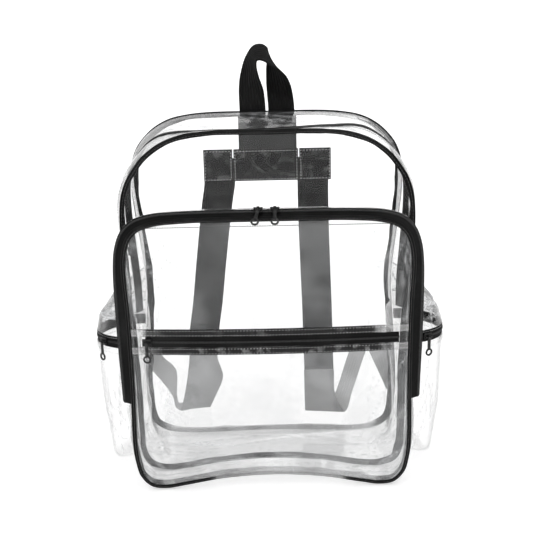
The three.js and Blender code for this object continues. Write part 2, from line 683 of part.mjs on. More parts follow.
// A side pocket's surface: along runs from its front seam at 0 to its rear seam at 1, and across is a
// place in the table of sections
function sidePocketSurface(sections, side) {
  return (along, across) => {
    const i = Math.max(0, Math.min(sections.length - 2, Math.floor(across)));
    const share = across - i;
    const blend = (key) => sections[i][key] + (sections[i + 1][key] - sections[i][key]) * share;
    const angle = along * Math.PI;
    const towardsMiddle = Math.max(0, Math.sin(angle));
    const edge = blend('edge') * SIDE_POCKET_HEIGHT;
    const middle = blend('middle') * SIDE_POCKET_HEIGHT;
    const tilt = SIDE_SEAM_TILT * Math.cos(angle) * Math.max(0, edge / SIDE_POCKET_HEIGHT - 0.5) * 2;
    const z = edge + (middle - edge) * towardsMiddle + tilt;
    const y = SIDE_MIDDLE_Y - SIDE_HALF_DEPTH * Math.cos(angle);
    const bulge = blend('out') * SIDE_POCKET_BULGE * Math.sin(angle);
    const x = mainSideReach(z, y) + SIDE_SEAM_GAP + VINYL + bulge;
    return new THREE.Vector3(side * x, y, z);
  };
}

function sectionsToZip() {
  const low = SIDE_ZIP_UP / SIDE_POCKET_HEIGHT;
  const high = (SIDE_ZIP_UP + SIDE_ZIP_WIDTH) / SIDE_POCKET_HEIGHT;
  const slit = SEAM_GAP / SIDE_POCKET_HEIGHT;
  const at = (up) => ({ edge: up, middle: up, out: 1 });
  return {
    body: [...SIDE_POCKET_BODY, at(low - slit)],
    zip: [at(low), at(high)],
    dome: [at(high + slit), ...SIDE_POCKET_DOME],
  };
}

function addSidePocket(side, label) {
  const alongs = evenly(0, 1, SIDE_POCKET_STEPS);
  const { body, zip, dome } = sectionsToZip();
  const wall = (sections) => {
    const acrosses = sections.map((_, i) => i);
    const lifts = sections.map(() => 0);
    return bandGeometry(sidePocketSurface(sections, side), alongs, acrosses, lifts, VINYL, side);
  };
  place(`side_pocket_${label}_body`, wall(body), clearVinyl);
  place(`side_pocket_${label}_dome`, wall(dome), clearVinyl);
  place(`side_zip_${label}`, zipGeometry(sidePocketSurface(zip, side), alongs, 0, 1, side), blackTape);
}

// Straps, handle and patches, all sewn on the back

// A flat ribbon through sections of two edge points each. Its thickness runs square to its face, backwards
// at its first section, so that where it folds over its face turns with it. It starts at the points, or
// before them by a share of itself.
function ribbonGeometry(sections, thickness, before = 0) {
  const middle = ([a, b]) => a.clone().lerp(b, 0.5);
  const squareTo = sections.map(([a, b], i) => {
    const last = middle(sections[Math.max(0, i - 1)]);
    const next = middle(sections[Math.min(sections.length - 1, i + 1)]);
    return next.sub(last).cross(b.clone().sub(a)).normalize();
  });
  const backwards = Math.sign(squareTo[0].y) * thickness;
  const face = (share) => sections.map((edges, i) => edges.map(
    (p) => p.clone().addScaledVector(squareTo[i], share * backwards)));
  return wallGeometry(face(-before), face(1 - before), false);
}

function addStrap(label) {
  const rows = STRAP_SECTIONS[label];
  const hang = (out) => BEHIND_BAG + out * STRAP_BOW;
  const strap = rows.map(({ across, up, out }) => {
    const point = (aside) => new THREE.Vector3(
      across * BODY_HALF_WIDTH + aside, hang(out), up * BODY_HEIGHT);
    return [point(-STRAP_WIDTH / 2), point(STRAP_WIDTH / 2)];
  });
  place(`shoulder_strap_${label}`, ribbonGeometry(strap, STRAP_THICKNESS), greyWebbing);

  const edged = (edgeRows, depthOf) => edgeRows.map((row) => {
    const point = (across, up) => new THREE.Vector3(
      across * BODY_HALF_WIDTH, depthOf(row), up * BODY_HEIGHT);
    return [point(row.in_across, row.in_up), point(row.out_across, row.out_up)];
  });
  // The strap end lies just inside the strap's lower end, and the webbing just outside the strap end
  const endDepth = hang(rows[rows.length - 1].out) - SEAM_GAP - WEBBING_THICKNESS;
  const webbingOff = endDepth + WEBBING_THICKNESS + SEAM_GAP - BEHIND_BAG;
  const end = edged(STRAP_END_EDGES[label], () => endDepth);
  place(`strap_end_${label}`, ribbonGeometry(end, WEBBING_THICKNESS), greyWebbing);
  const webbing = edged(WEBBING_EDGES[label], (row) => BEHIND_BAG + row.out * webbingOff);
  place(`strap_webbing_${label}`, ribbonGeometry(webbing, WEBBING_THICKNESS), greyWebbing);
}

function addHandle() {
  const foot = BEHIND_BAG + WEBBING_THICKNESS / 2;
  const path = new THREE.CatmullRomCurve3(HANDLE_SECTIONS.map(({ along, up }) => new THREE.Vector3(
    HANDLE_MIDDLE + along * HANDLE_SPREAD, foot, BODY_HEIGHT + up * HANDLE_RISE)));
  const last = HANDLE_SECTIONS.length - 1;
  const sections = evenly(0, last, 2 * last).map((step) => {
    const i = Math.min(last - 1, Math.floor(step));
    const from = HANDLE_SECTIONS[i].turn;
    const turn = THREE.MathUtils.degToRad(from + (HANDLE_SECTIONS[i + 1].turn - from) * (step - i));
    const middle = path.getPoint(step / last);
    const across = new THREE.Vector3(Math.cos(turn), Math.sin(turn), 0);
    const half = across.multiplyScalar(HANDLE_WIDTH / 2);
    return [middle.clone().sub(half), middle.clone().add(half)];
  });
  place('grab_handle', ribbonGeometry(sections, WEBBING_THICKNESS, 0.5), blackWebbing);
}

function addPatches() {
  const plate = (width, height, thickness, x, top, y) => {
    const box = new THREE.BoxGeometry(width, thickness, height);
    box.translate(x, y + thickness / 2, top - height / 2);
    return box;
  };
  const overHandle = BEHIND_BAG + WEBBING_THICKNESS + SEAM_GAP;
  const yokeTop = BODY_HEIGHT - YOKE_DROP;
  const patchTop = BODY_HEIGHT - PATCH_DROP;
  const patchHeight = patchTop - yokeTop - SEAM_GAP;
  const patch = plate(PATCH_WIDTH, patchHeight, PATCH_THICKNESS, HANDLE_MIDDLE, patchTop, overHandle);
  place('handle_patch', patch, greyWebbing);
  const overStraps = BEHIND_BAG + STRAP_THICKNESS + SEAM_GAP;
  const yoke = plate(YOKE_WIDTH, YOKE_HEIGHT, PATCH_THICKNESS, YOKE_MIDDLE, yokeTop, overStraps);
  place('yoke_patch', yoke, blackFacing);
}

// Sliders and pull tabs

// A slider on its own axes: X along the zip, Y across it and Z out of it, from the underside up
const BAR_UP = SLIDER_HEIGHT + BAR_RADIUS + EYE_GAP + EYE_WALL + EYE_GAP;

function sliderGeometry() {
  const body = boxSolid(
    new THREE.Vector3(SLIDER_LENGTH, SLIDER_WIDTH, SLIDER_HEIGHT),
    new THREE.Vector3(0, 0, SLIDER_HEIGHT / 2));
  const postX = SLIDER_LENGTH / 2 - POST_LENGTH / 2 - POST_INSET;
  const postHeight = BAR_UP + BAR_RADIUS - SLIDER_HEIGHT / 2;
  let solid = body;
  for (const way of [-1, 1]) {
    solid = solid.add(boxSolid(
      new THREE.Vector3(POST_LENGTH, POST_WIDTH, postHeight),
      new THREE.Vector3(way * postX, 0, SLIDER_HEIGHT / 2 + postHeight / 2)));
  }
  const bar = new THREE.CylinderGeometry(BAR_RADIUS, BAR_RADIUS, 2 * postX, 8);
  bar.rotateZ(Math.PI / 2);
  bar.translate(0, 0, BAR_UP);
  return geometryOf(solid.add(solidOf(bar)));
}

// A pull tab on its own axes: X along the slider's bar, Y down the tab from the bar and Z through it
function pullGeometry(splay) {
  const eyeInner = BAR_RADIUS + EYE_GAP;
  const eyeOuter = eyeInner + EYE_WALL;
  const eyeShape = new THREE.Shape();
  eyeShape.absarc(0, 0, eyeOuter, 0, 2 * Math.PI);
  const eyeHole = new THREE.Path();
  eyeHole.absarc(0, 0, eyeInner, 0, 2 * Math.PI, true);
  eyeShape.holes.push(eyeHole);
  const eye = new THREE.ExtrudeGeometry(eyeShape, {
    depth: EYE_LENGTH, bevelEnabled: false, curveSegments: ROUND_STEPS,
  });
  eye.translate(0, 0, -EYE_LENGTH / 2);
  eye.rotateY(Math.PI / 2);

  const neck = PULL_NECK / 2;
  const start = eyeInner + EYE_WALL / 2;
  const endX = Math.tan(splay) * PULL_LENGTH;
  const shoulder = PULL_LENGTH - PULL_RING_RADIUS;
  const shoulderX = (endX * shoulder) / PULL_LENGTH;
  const tab = new THREE.Shape();
  tab.moveTo(-neck, start);
  tab.lineTo(neck, start);
  tab.lineTo(shoulderX + neck, shoulder);
  tab.absarc(endX, PULL_LENGTH, PULL_RING_RADIUS, -Math.PI * 0.3, Math.PI * 1.3);
  tab.lineTo(shoulderX - neck, shoulder);
  const hole = new THREE.Path();
  hole.absarc(endX, PULL_LENGTH, PULL_HOLE_RADIUS, 0, 2 * Math.PI, true);
  tab.holes.push(hole);
  const plate = new THREE.ExtrudeGeometry(tab, {
    depth: PULL_THICKNESS, bevelEnabled: false, curveSegments: ROUND_STEPS,
  });
  plate.translate(0, 0, -PULL_THICKNESS / 2);
  return geometryOf(solidOf(eye).add(solidOf(plate)));
}

// Stands a slider on a zip's coil, with its length along the zip
function seatOnZip(slider, surface, along, across, way) {
  const out = surfaceNormal(surface, along, across, way);
  const zipWay = surfaceAlong(surface, along, across);
  const sideways = new THREE.Vector3().crossVectors(out, zipWay);
  slider.quaternion.setFromRotationMatrix(new THREE.Matrix4().makeBasis(zipWay, sideways, out));
  slider.position.copy(surface(along, across)).addScaledVector(out, ZIP_RIDGE + SLIDER_LIFT);
  return { zipWay, out };
}

// Puts a slider on a surface, its pull hanging from the bar. along and across find the place, and leanAt
// gives the angle from straight down by which a pull on a bar leans out over what is below it.
function addSlider(name, surface, along, across, way, splay, leanAt) {
  const slider = place(`${name}_slider`, sliderGeometry(), blackMetal);
  const { zipWay, out } = seatOnZip(slider, surface, along, across, way);

  const pull = place(`${name}_pull`, pullGeometry(splay), blackMetal);
  const away = new THREE.Vector3(out.x, out.y, 0).normalize();
  const barMiddle = slider.position.clone().addScaledVector(out, BAR_UP);
  const lean = leanAt(barMiddle);
  const hangs = new THREE.Vector3(0, 0, -Math.cos(lean)).addScaledVector(away, Math.sin(lean));
  const bar = zipWay.clone().addScaledVector(hangs, -zipWay.dot(hangs)).normalize();
  const flat = new THREE.Vector3().crossVectors(bar, hangs);
  pull.quaternion.setFromRotationMatrix(new THREE.Matrix4().makeBasis(bar, hangs, flat));
  pull.position.copy(barMiddle);
}

// A pull on the pocket's top leans out until it clears the front edge of the pocket's binding
function leanOverPocketEdge(bar) {
  const ahead = bar.y - POCKET_EDGE;
  const above = bar.z - POCKET_HEIGHT;
  const clear = PULL_THICKNESS / 2 + SEAM_GAP;
  return Math.atan2(ahead, above) + Math.asin(clear / Math.hypot(ahead, above));
}

function addSliders() {
  const straightDown = () => 0;
  const pocketMiddle = (POCKET_ZIP_PEAK + 1) / 2;
  const flared = pocketSurface(1);
  for (const [label, { across, splay }] of Object.entries(POCKET_SLIDERS)) {
    const along = pocketOutline.alongTopAt(across);
    addSlider(`pocket_zip_${label}`, flared, along, pocketMiddle, 1, splay, leanOverPocketEdge);
  }

  const panel = (along, across) => {
    const x = LOWER_ZIP_LEFT + along;
    const z = LOWER_ZIP_UP + across;
    return new THREE.Vector3(x, pocketFaceDepth(x, z), z);
  };
  addSlider('lower_zip', panel, LOWER_SLIDER_ALONG, 0, 1, 0, straightDown);

  const { zip } = sectionsToZip();
  for (const [label, side] of [['left', -1], ['right', 1]]) {
    const surface = sidePocketSurface(zip, side);
    addSlider(`side_zip_${label}`, surface, SIDE_SLIDER_ALONG[label], 0.5, side, 0, straightDown);
  }
}

// The main zip's two sliders are out of sight in the photograph, so each is one plain block
function addHiddenSliders() {
  const onRight = frontOutline.alongAt(SIDE_POCKET_HEIGHT + HIDDEN_SLIDER_ABOVE);
  const height = 2 * SLIDER_HEIGHT;
  for (const [label, along] of [['right', onRight], ['left', 1 - onRight]]) {
    const block = new THREE.BoxGeometry(SLIDER_LENGTH, SLIDER_WIDTH, height);
    block.translate(0, 0, height / 2);
    const slider = place(`main_zip_slider_${label}`, block, blackMetal);
    seatOnZip(slider, mainSurface, along, 0.5, 1);
  }
}

addMainCompartment();
addPocketWalls();
addPocketFront();
addSidePocket(-1, 'left');
addSidePocket(1, 'right');
addHandle();
addPatches();
addStrap('left');
addStrap('right');
addSliders();
addHiddenSliders();

// The bag's origin is the middle of its footprint, on the floor
bag.updateMatrixWorld(true);
const box = new THREE.Box3().setFromObject(bag, true);
bag.position.set(-(box.min.x + box.max.x) / 2, -(box.min.y + box.max.y) / 2, -box.min.z);

export default bag;
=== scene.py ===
"""A clear vinyl stadium backpack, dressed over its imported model. Run as a script in Blender 4.5.

Shapes are worked out in millimetres with Y at 0 halfway through the main compartment, as the bag was drawn,
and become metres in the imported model's frame when a piece is made.
"""
import math

import bmesh
import bpy
import numpy as np
from bpy.props import FloatProperty, FloatVectorProperty, PointerProperty
from mathutils import Euler, Matrix, Vector


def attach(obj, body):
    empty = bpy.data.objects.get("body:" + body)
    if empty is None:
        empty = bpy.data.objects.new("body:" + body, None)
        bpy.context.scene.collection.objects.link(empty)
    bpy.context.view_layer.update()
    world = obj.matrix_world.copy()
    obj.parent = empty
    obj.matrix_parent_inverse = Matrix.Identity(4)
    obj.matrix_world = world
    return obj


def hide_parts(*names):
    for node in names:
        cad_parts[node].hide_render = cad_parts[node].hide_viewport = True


bl_info = {
    "name": "Clear Stadium Backpack",
    "version": (1, 0, 0),
    "blender": (4, 5, 0),
    "location": "View3D > Sidebar > Backpack",
    "description": "Makes a clear vinyl backpack with black zips, bindings and straps",
    "category": "Add Mesh",
}

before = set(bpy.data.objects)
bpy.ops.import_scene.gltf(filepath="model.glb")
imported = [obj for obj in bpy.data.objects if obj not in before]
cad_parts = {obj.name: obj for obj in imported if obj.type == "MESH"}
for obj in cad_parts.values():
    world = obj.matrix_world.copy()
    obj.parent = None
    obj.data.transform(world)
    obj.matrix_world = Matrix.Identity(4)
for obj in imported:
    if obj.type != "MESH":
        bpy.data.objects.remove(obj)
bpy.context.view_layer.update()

# Millimetres to metres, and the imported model's place
MM = 0.001
PLACE = np.array([0.0, 0.0191557, 0.00004])

# Main sizes, in millimetres
BODY_HEIGHT, BODY_HALF_WIDTH, BODY_DEPTH = 400.0, 161.0, 104.0
POCKET_HEIGHT, POCKET_HALF_WIDTH, POCKET_DEPTH = 312.5, 156.8, 45.0
POCKET_BULGE, POCKET_FLARE = 8.0, 13.4
SIDE_HEIGHT, SIDE_BULGE = 222.0, 47.5
TOP_SAG, SAG_REACH, SAG_MIDDLE = 11.0, 0.085, 0.512
SIDE_SWAY = 5.0
VINYL, SEAM_GAP = 1.0, 0.3
BINDING_WIDTH, BINDING_DEPTH, BINDING_PROUD, EDGE_INSET = 5.0, 4.6, 0.7, 1.0
ZIP_WIDTH, ZIP_RIDGE = 15.0, 0.8
MAIN_ZIP_END, POCKET_ZIP_END, POCKET_ZIP_PEAK = 182.0, 102.0, 0.7
SIDE_ZIP_UP, SIDE_ZIP_WIDTH, SIDE_STRIP_WIDTH = 148.0, 13.0, 7.0
LOWER_ZIP_UP, LOWER_ZIP_WIDTH, LOWER_ZIP_LEFT, LOWER_ZIP_RIGHT = 177.0, 12.0, -134.0, 139.0
FACING_WIDTH, BACKING_UP = 8.5, 306.0
STRAP_WIDTH, STRAP_THICKNESS, STRAP_BOW, WEBBING_THICKNESS = 36.0, 2.0, 11.0, 1.6
HANDLE_WIDTH, HANDLE_RISE, HANDLE_SPREAD, HANDLE_MIDDLE = 30.0, 74.0, 33.0, 2.0
PATCH_WIDTH, PATCH_TOP, PATCH_THICKNESS = 67.0, 399.3, 1.2
YOKE_WIDTH, YOKE_HEIGHT, YOKE_MIDDLE, YOKE_TOP = 148.0, 37.0, 1.0, 355.0
SLIT_FROM_LEFT, SLIT_FROM_RIGHT = (33.5, 35.0), (38.0, 36.5)
INNER_PATCH_SET, INNER_PATCH_THICKNESS = 0.75, 0.5

BACK_PLANE, FRONT_PLANE = BODY_DEPTH / 2, -BODY_DEPTH / 2
POCKET_PLANE = FRONT_PLANE - POCKET_DEPTH
BEHIND_BAG = BACK_PLANE + BINDING_PROUD + SEAM_GAP
GUSSET_REAR = BACK_PLANE + BINDING_PROUD - BINDING_DEPTH - SEAM_GAP
GUSSET_FRONT = FRONT_PLANE - BINDING_PROUD / 2 + BINDING_DEPTH + SEAM_GAP
POCKET_REAR = FRONT_PLANE - BINDING_PROUD / 2 - SEAM_GAP
POCKET_EDGE = POCKET_PLANE - BINDING_PROUD
POCKET_FRONT = POCKET_EDGE + BINDING_DEPTH + SEAM_GAP
LOWER_ZIP_LOW, LOWER_ZIP_HIGH = LOWER_ZIP_UP - LOWER_ZIP_WIDTH / 2, LOWER_ZIP_UP + LOWER_ZIP_WIDTH / 2
SEAM_INSET = BINDING_WIDTH + SEAM_GAP

# About how far apart the points along walls, zips, seams and bindings are, in millimetres
MAIN_WALL_STEP, POCKET_WALL_STEP, ZIP_STEP, SEAM_STEP, BINDING_STEP = 3.2, 3.0, 4.0, 3.0, 3.4

# The right corners of a panel's grid, and where an outline's right side is, as shares of the way round
CORNER_LOW, CORNER_HIGH = 0.125, 0.361
SIDE_FROM, SIDE_TO = 0.14, 0.5

# Half outlines from the bottom middle to the top middle: across, up and, for the pocket, flare
FRONT_ROWS = [
    (0, 0.03), (0.373, 0.02), (0.621, 0.003), (0.78, 0.001), (0.89, 0.018), (0.935, 0.055), (0.945, 0.12),
    (0.95, 0.25), (0.963, 0.4), (0.982, 0.55), (1, 0.712), (0.994, 0.787), (0.963, 0.843), (0.913, 0.88),
    (0.826, 0.925), (0.714, 0.958), (0.571, 0.98), (0.373, 0.99), (0, 0.99),
]
BACK_ROWS = [
    (0, 0.004), (0.373, 0.001), (0.621, 0), (0.795, 0.008), (0.894, 0.033), (0.935, 0.07), (0.95, 0.13),
    (0.944, 0.25), (0.922, 0.39), (0.91, 0.5), (0.935, 0.6), (0.969, 0.712), (0.984, 0.795), (0.966, 0.866),
    (0.907, 0.915), (0.814, 0.954), (0.702, 0.98), (0.528, 0.996), (0, 1),
]
POCKET_ROWS = [
    (0, 0.045, 0), (0.35, 0.034, 0), (0.625, 0.01, 0), (0.755, 0, 0), (0.867, 0.008, 0.05),
    (0.94, 0.045, 0.3), (0.972, 0.1, 0.6), (0.986, 0.18, 0.75), (0.982, 0.35, 0.88), (0.982, 0.52, 1),
    (0.988, 0.69, 1), (1, 0.82, 0.82), (0.989, 0.885, 0.75), (0.955, 0.935, 0.68), (0.895, 0.967, 0.6),
    (0.785, 0.988, 0.5), (0.63, 0.997, 0.42), (0.4, 1, 0.41), (0, 1, 0.41),
]

# Side pocket sections: edge and middle heights as shares of the side pocket's height, and the bulge
SIDE_BODY_ROWS = [
    (0.1, 0.1, 0.015), (0.112, 0.03, 0.42), (0.128, 0.008, 0.68), (0.16, 0.03, 0.82), (0.27, 0.2, 0.88),
    (0.48, 0.46, 0.95),
]
SIDE_DOME_ROWS = [
    (0.79, 0.78, 0.93), (0.84, 0.835, 0.79), (0.92, 0.9, 0.58), (0.98, 0.965, 0.3), (1, 1, 0.015),
]

# The grab handle: along the spread, up the rise, its turn and its lean forward, both in degrees
HANDLE_ROWS = [
    (-0.5, -0.55, 0, 0), (-0.5, 0, 0, 0), (-0.53, 0.3, -16, 4), (-0.56, 0.55, -46, 14), (-0.5, 0.76, -68, 24),
    (-0.36, 0.88, -84, 30), (-0.14, 0.89, -90, 32), (0.08, 0.83, -86, 34), (0.24, 0.73, -66, 30),
    (0.34, 0.58, -42, 18), (0.42, 0.38, -20, 6), (0.48, 0.15, -5, 0), (0.5, 0, 0, 0), (0.5, -0.55, 0, 0),
]

# Shoulder straps: across, up and out. Strap ends and webbing: inner across and up, outer across and up, and
# for the webbing its depth as a share of the strap ends' depth
STRAP_ROWS = {
    "left": [
        (-0.329, 0.862, 0), (-0.342, 0.785, 0), (-0.36, 0.74, 0.3), (-0.385, 0.672, 0.75), (-0.43, 0.53, 1),
        (-0.465, 0.41, 0.95), (-0.497, 0.325, 0.8), (-0.51, 0.262, 0.65),
    ],
    "right": [
        (0.335, 0.862, 0), (0.335, 0.785, 0), (0.336, 0.74, 0.3), (0.34, 0.665, 0.75), (0.35, 0.53, 1),
        (0.36, 0.4, 0.95), (0.366, 0.28, 0.75), (0.372, 0.18, 0.6),
    ],
}
STRAP_END_ROWS = {
    "left": [
        (-0.405, 0.275, -0.613, 0.275), (-0.402, 0.235, -0.62, 0.235), (-0.367, 0.175, -0.64, 0.175),
        (-0.43, 0.11, -0.672, 0.11), (-0.472, 0.074, -0.7, 0.066),
    ],
    "right": [
        (0.256, 0.192, 0.485, 0.192), (0.258, 0.11, 0.494, 0.11), (0.26, 0.056, 0.56, 0.048),
    ],
}
WEBBING_ROWS = {
    "left": [
        (-0.6, 0.1, -0.6, 0.07, 1), (-0.69, 0.088, -0.69, 0.06, 1), (-0.715, 0.088, -0.738, 0.07, 1.04),
        (-0.728, 0.112, -0.765, 0.112, 1.08), (-0.727, 0.198, -0.9, 0.192, 1.06),
        (-0.82, 0.243, -0.952, 0.217, 0.95), (-0.86, 0.275, -0.95, 0.262, 0.8),
        (-0.9, 0.24, -0.938, 0.236, 0.5), (-0.905, 0.13, -0.938, 0.13, 0.23),
    ],
    "right": [
        (0.38, 0.075, 0.5, 0.05, 1), (0.455, 0.085, 0.571, 0.047, 1), (0.497, 0.113, 0.628, 0.115, 1.04),
        (0.602, 0.245, 0.727, 0.243, 1.12), (0.665, 0.3, 0.738, 0.253, 1.08), (0.795, 0.305, 0.745, 0.253, 1),
        (0.888, 0.278, 0.755, 0.247, 0.85), (0.912, 0.243, 0.785, 0.22, 0.65),
        (0.92, 0.188, 0.84, 0.17, 0.4), (0.925, 0.127, 0.885, 0.127, 0),
    ],
}


# Curves

def round_curve(points, steps, closed):
    """A centripetal curve through points, with that many steps in each span."""
    p = np.asarray(points, float)
    if closed:
        p = np.vstack([p[-1], p, p[0], p[1]])
    else:
        p = np.vstack([2 * p[0] - p[1], p, 2 * p[-1] - p[-2]])
    share = (np.arange(steps) / steps)[:, None]
    spans = []
    for a, b, c, d in zip(p, p[1:], p[2:], p[3:]):
        da, db, dc = (max(np.linalg.norm(v) ** 0.5, 1e-4) for v in (b - a, c - b, d - c))
        leaves = ((b - a) / da - (c - a) / (da + db) + (c - b) / db) * db
        meets = ((c - b) / db - (d - b) / (db + dc) + (d - c) / dc) * db
        spans.append(b + leaves * share + (3 * (c - b) - 2 * leaves - meets) * share ** 2
                     + (2 * (b - c) + leaves + meets) * share ** 3)
    if not closed:
        spans.append(p[-2][None])
    return np.vstack(spans)


def table_at(places, known, rows):
    """The rows' values at places between the known ones, column by column."""
    return np.stack([np.interp(places, known, rows[:, k]) for k in range(rows.shape[1])], axis=-1)


def lengths(points):
    """How far along a path each of its points is."""
    steps = np.linalg.norm(np.diff(points, axis=0), axis=1)
    return np.concatenate([[0], np.cumsum(steps)])


def even_curve(points, count):
    """The same path through that many evenly spaced points."""
    run = lengths(points)
    return table_at(np.linspace(0, run[-1], count), run, points)


class Outline:
    """A closed outline in the XZ plane.

    A place on it is a share of the way round, from the bottom middle by the right side.
    """

    STEPS = 60

    def __init__(self, rows, half_width, height):
        half = [(r[0] * half_width, (r[2] if len(r) > 2 else 0) * POCKET_FLARE, r[1] * height) for r in rows]
        points = half + [(-x, flare, z) for x, flare, z in half[-2:0:-1]]
        self.line = round_curve(points, self.STEPS, True)
        self.shares = np.arange(len(self.line)) / len(self.line)
        step = np.roll(self.line, -1, 0) - np.roll(self.line, 1, 0)
        out = np.stack([step[:, 2], np.zeros(len(step)), -step[:, 0]], -1)
        self.out_line = out / np.linalg.norm(out, axis=1)[:, None]

    def read(self, line, share):
        return np.stack([np.interp(share, self.shares, line[:, k], period=1) for k in range(3)], -1)

    def at(self, share):
        return self.read(self.line, share)

    def out(self, share):
        return self.read(self.out_line, share)

    def inset(self, share, inset, y):
        """Points that far inside the outline, at depth y."""
        p = self.at(share) - self.out(share) * np.asarray(inset)[..., None]
        p[..., 1] = y
        return p

    def right_side(self):
        return (self.shares > SIDE_FROM) & (self.shares < SIDE_TO)

    def share_at(self, up):
        """The place on the right side at a height."""
        side = self.right_side()
        return np.interp(up, self.line[side, 2], self.shares[side])

    def reach_at(self, up):
        """How far across the right side is at a height."""
        side = self.right_side()
        return np.interp(up, self.line[side, 2], self.line[side, 0])

    def evenly(self, start, end, pitch):
        """Shares from start to end whose points are about pitch apart."""
        fine = np.linspace(start, end, 2000)
        run = lengths(self.at(fine))
        count = max(2, round(run[-1] / pitch) + 1)
        return np.interp(np.linspace(0, run[-1], count), run, fine)


front_outline = Outline(FRONT_ROWS, BODY_HALF_WIDTH, BODY_HEIGHT)
back_outline = Outline(BACK_ROWS, BODY_HALF_WIDTH, BODY_HEIGHT)
pocket_outline = Outline(POCKET_ROWS, POCKET_HALF_WIDTH, POCKET_HEIGHT)


# Surfaces, each by a share along it and a share across it

def main_surface(along, across):
    """The main wall, from its rear seam to its front one, sagging at the top and swaying at the sides."""
    rear = back_outline.inset(along, EDGE_INSET, GUSSET_REAR)
    front = front_outline.inset(along, EDGE_INSET, GUSSET_FRONT)
    p = rear + (front - rear) * np.asarray(across)[..., None]
    from_top = np.minimum(1, np.abs((along % 1) - SAG_MIDDLE) / SAG_REACH)
    sag = np.cos(from_top * math.pi / 2) ** 2 * np.sin(math.pi * np.clip(across, 0, 1)) ** 2
    p[..., 2] -= TOP_SAG * sag
    sideways = front_outline.out(along)[..., 0]
    p[..., 0] -= SIDE_SWAY * sideways * np.abs(sideways) * np.sin(2 * math.pi * np.clip(across, 0, 1))
    return p


def pocket_surface(flare_share):
    """The front pocket's wall, from its rear to its front, bulging by a share of the outline's flare."""
    def surface(along, across):
        p = pocket_outline.at(along)
        bump = np.sin(math.pi * np.clip(across, 0, 1) ** 1.9)
        outwards = p[..., 1] * flare_share * bump - EDGE_INSET
        q = p + pocket_outline.out(along) * outwards[..., None]
        q[..., 1] = POCKET_REAR + (POCKET_FRONT - POCKET_REAR) * across
        return q
    return surface


def pocket_face_depth(x, z):
    """Y of the front pocket's bulging face."""
    middle = POCKET_HEIGHT / 2
    across = np.minimum(1, (x / POCKET_HALF_WIDTH) ** 2)
    up = np.minimum(1, ((z - middle) / middle) ** 2)
    return POCKET_PLANE - POCKET_BULGE * (1 - across) * (1 - up)


def side_surface(sections, side):
    """A side pocket's surface. along runs from its front seam to its rear one, across is a place in rows."""
    rows = np.array(sections, float)
    half_depth = (GUSSET_REAR - GUSSET_FRONT) / 2
    middle_y = (GUSSET_REAR + GUSSET_FRONT) / 2

    def surface(along, across):
        index = np.arange(len(rows))
        edge, middle, out = (np.interp(across, index, rows[:, k]) for k in range(3))
        angle = along * math.pi
        towards = np.maximum(0, np.sin(angle))
        tilt = 5.5 * np.cos(angle) * np.maximum(0, edge - 0.5) * 2
        z = (edge + (middle - edge) * towards) * SIDE_HEIGHT + tilt
        y = middle_y - half_depth * np.cos(angle)
        share = (GUSSET_REAR - y) / (GUSSET_REAR - GUSSET_FRONT)
        rear, front = back_outline.reach_at(z), front_outline.reach_at(z)
        reach = rear + (front - rear) * share - EDGE_INSET
        x = reach + 0.6 + VINYL + out * SIDE_BULGE * np.sin(angle)
        return np.stack([side * x, y, z], -1)
    return surface


def side_sections():
    """The sections of a side pocket's body, zip and dome, with a gap between each and the next."""
    low, high = SIDE_ZIP_UP / SIDE_HEIGHT, (SIDE_ZIP_UP + SIDE_ZIP_WIDTH) / SIDE_HEIGHT
    slit = SEAM_GAP / SIDE_HEIGHT
    return {
        "body": SIDE_BODY_ROWS + [(low - slit, low - slit, 1)],
        "zip": [(low, low, 1), (high, high, 1)],
        "dome": [(high + slit, high + slit, 1)] + SIDE_DOME_ROWS,
    }


def smooth_sections(sections, steps=8):
    """The same sections with rounder ones between them."""
    return [tuple(row) for row in round_curve(sections, steps, False)]


# Creases pressed into the sheets

def crease_rows(seed, count, s_range, t_range, turn, spread, reach, height):
    """Random creases with their places in two ranges, turned up to spread degrees either way from turn.

    Each has its place, turn in degrees, reach along, width across and height, in millimetres.
    """
    random = np.random.default_rng(seed)
    rows = []
    for _ in range(count):
        rows.append((
            random.uniform(*s_range), random.uniform(*t_range), turn + random.uniform(-spread, spread),
            reach * random.uniform(0.5, 1.4), reach * random.uniform(0.12, 0.4),
            height * random.uniform(0.4, 1.0) * random.choice([-1, 1]),
        ))
    return rows


def crease_field(rows, s, t):
    """How far the creases push the sheet out at s and t, and how near a crease's fold each point is."""
    push = np.zeros(np.shape(s))
    fold = np.zeros(np.shape(s))
    for s0, t0, turn, reach, width, height in rows:
        angle = math.radians(turn)
        along = (s - s0) * math.cos(angle) + (t - t0) * math.sin(angle)
        aside = (t - t0) * math.cos(angle) - (s - s0) * math.sin(angle)
        bend = aside + 0.12 * reach * np.sin(along / reach * 1.7)
        fade = np.exp(-(along / reach) ** 2)
        push += height * fade * np.exp(-np.sqrt(bend ** 2 + 0.25) / width)
        near = fade * np.exp(-(bend / 0.8) ** 2) * min(1.0, abs(height) / 1.2)
        fold = np.maximum(fold, near)
    return push, fold


# Meshes

def normals_of(grid, way=1.0):
    """The way out of a grid of points, with its sign."""
    n = np.cross(np.gradient(grid, axis=0), np.gradient(grid, axis=1))
    size = np.linalg.norm(n, axis=-1)[..., None]
    return way * n / np.maximum(size, 1e-9)


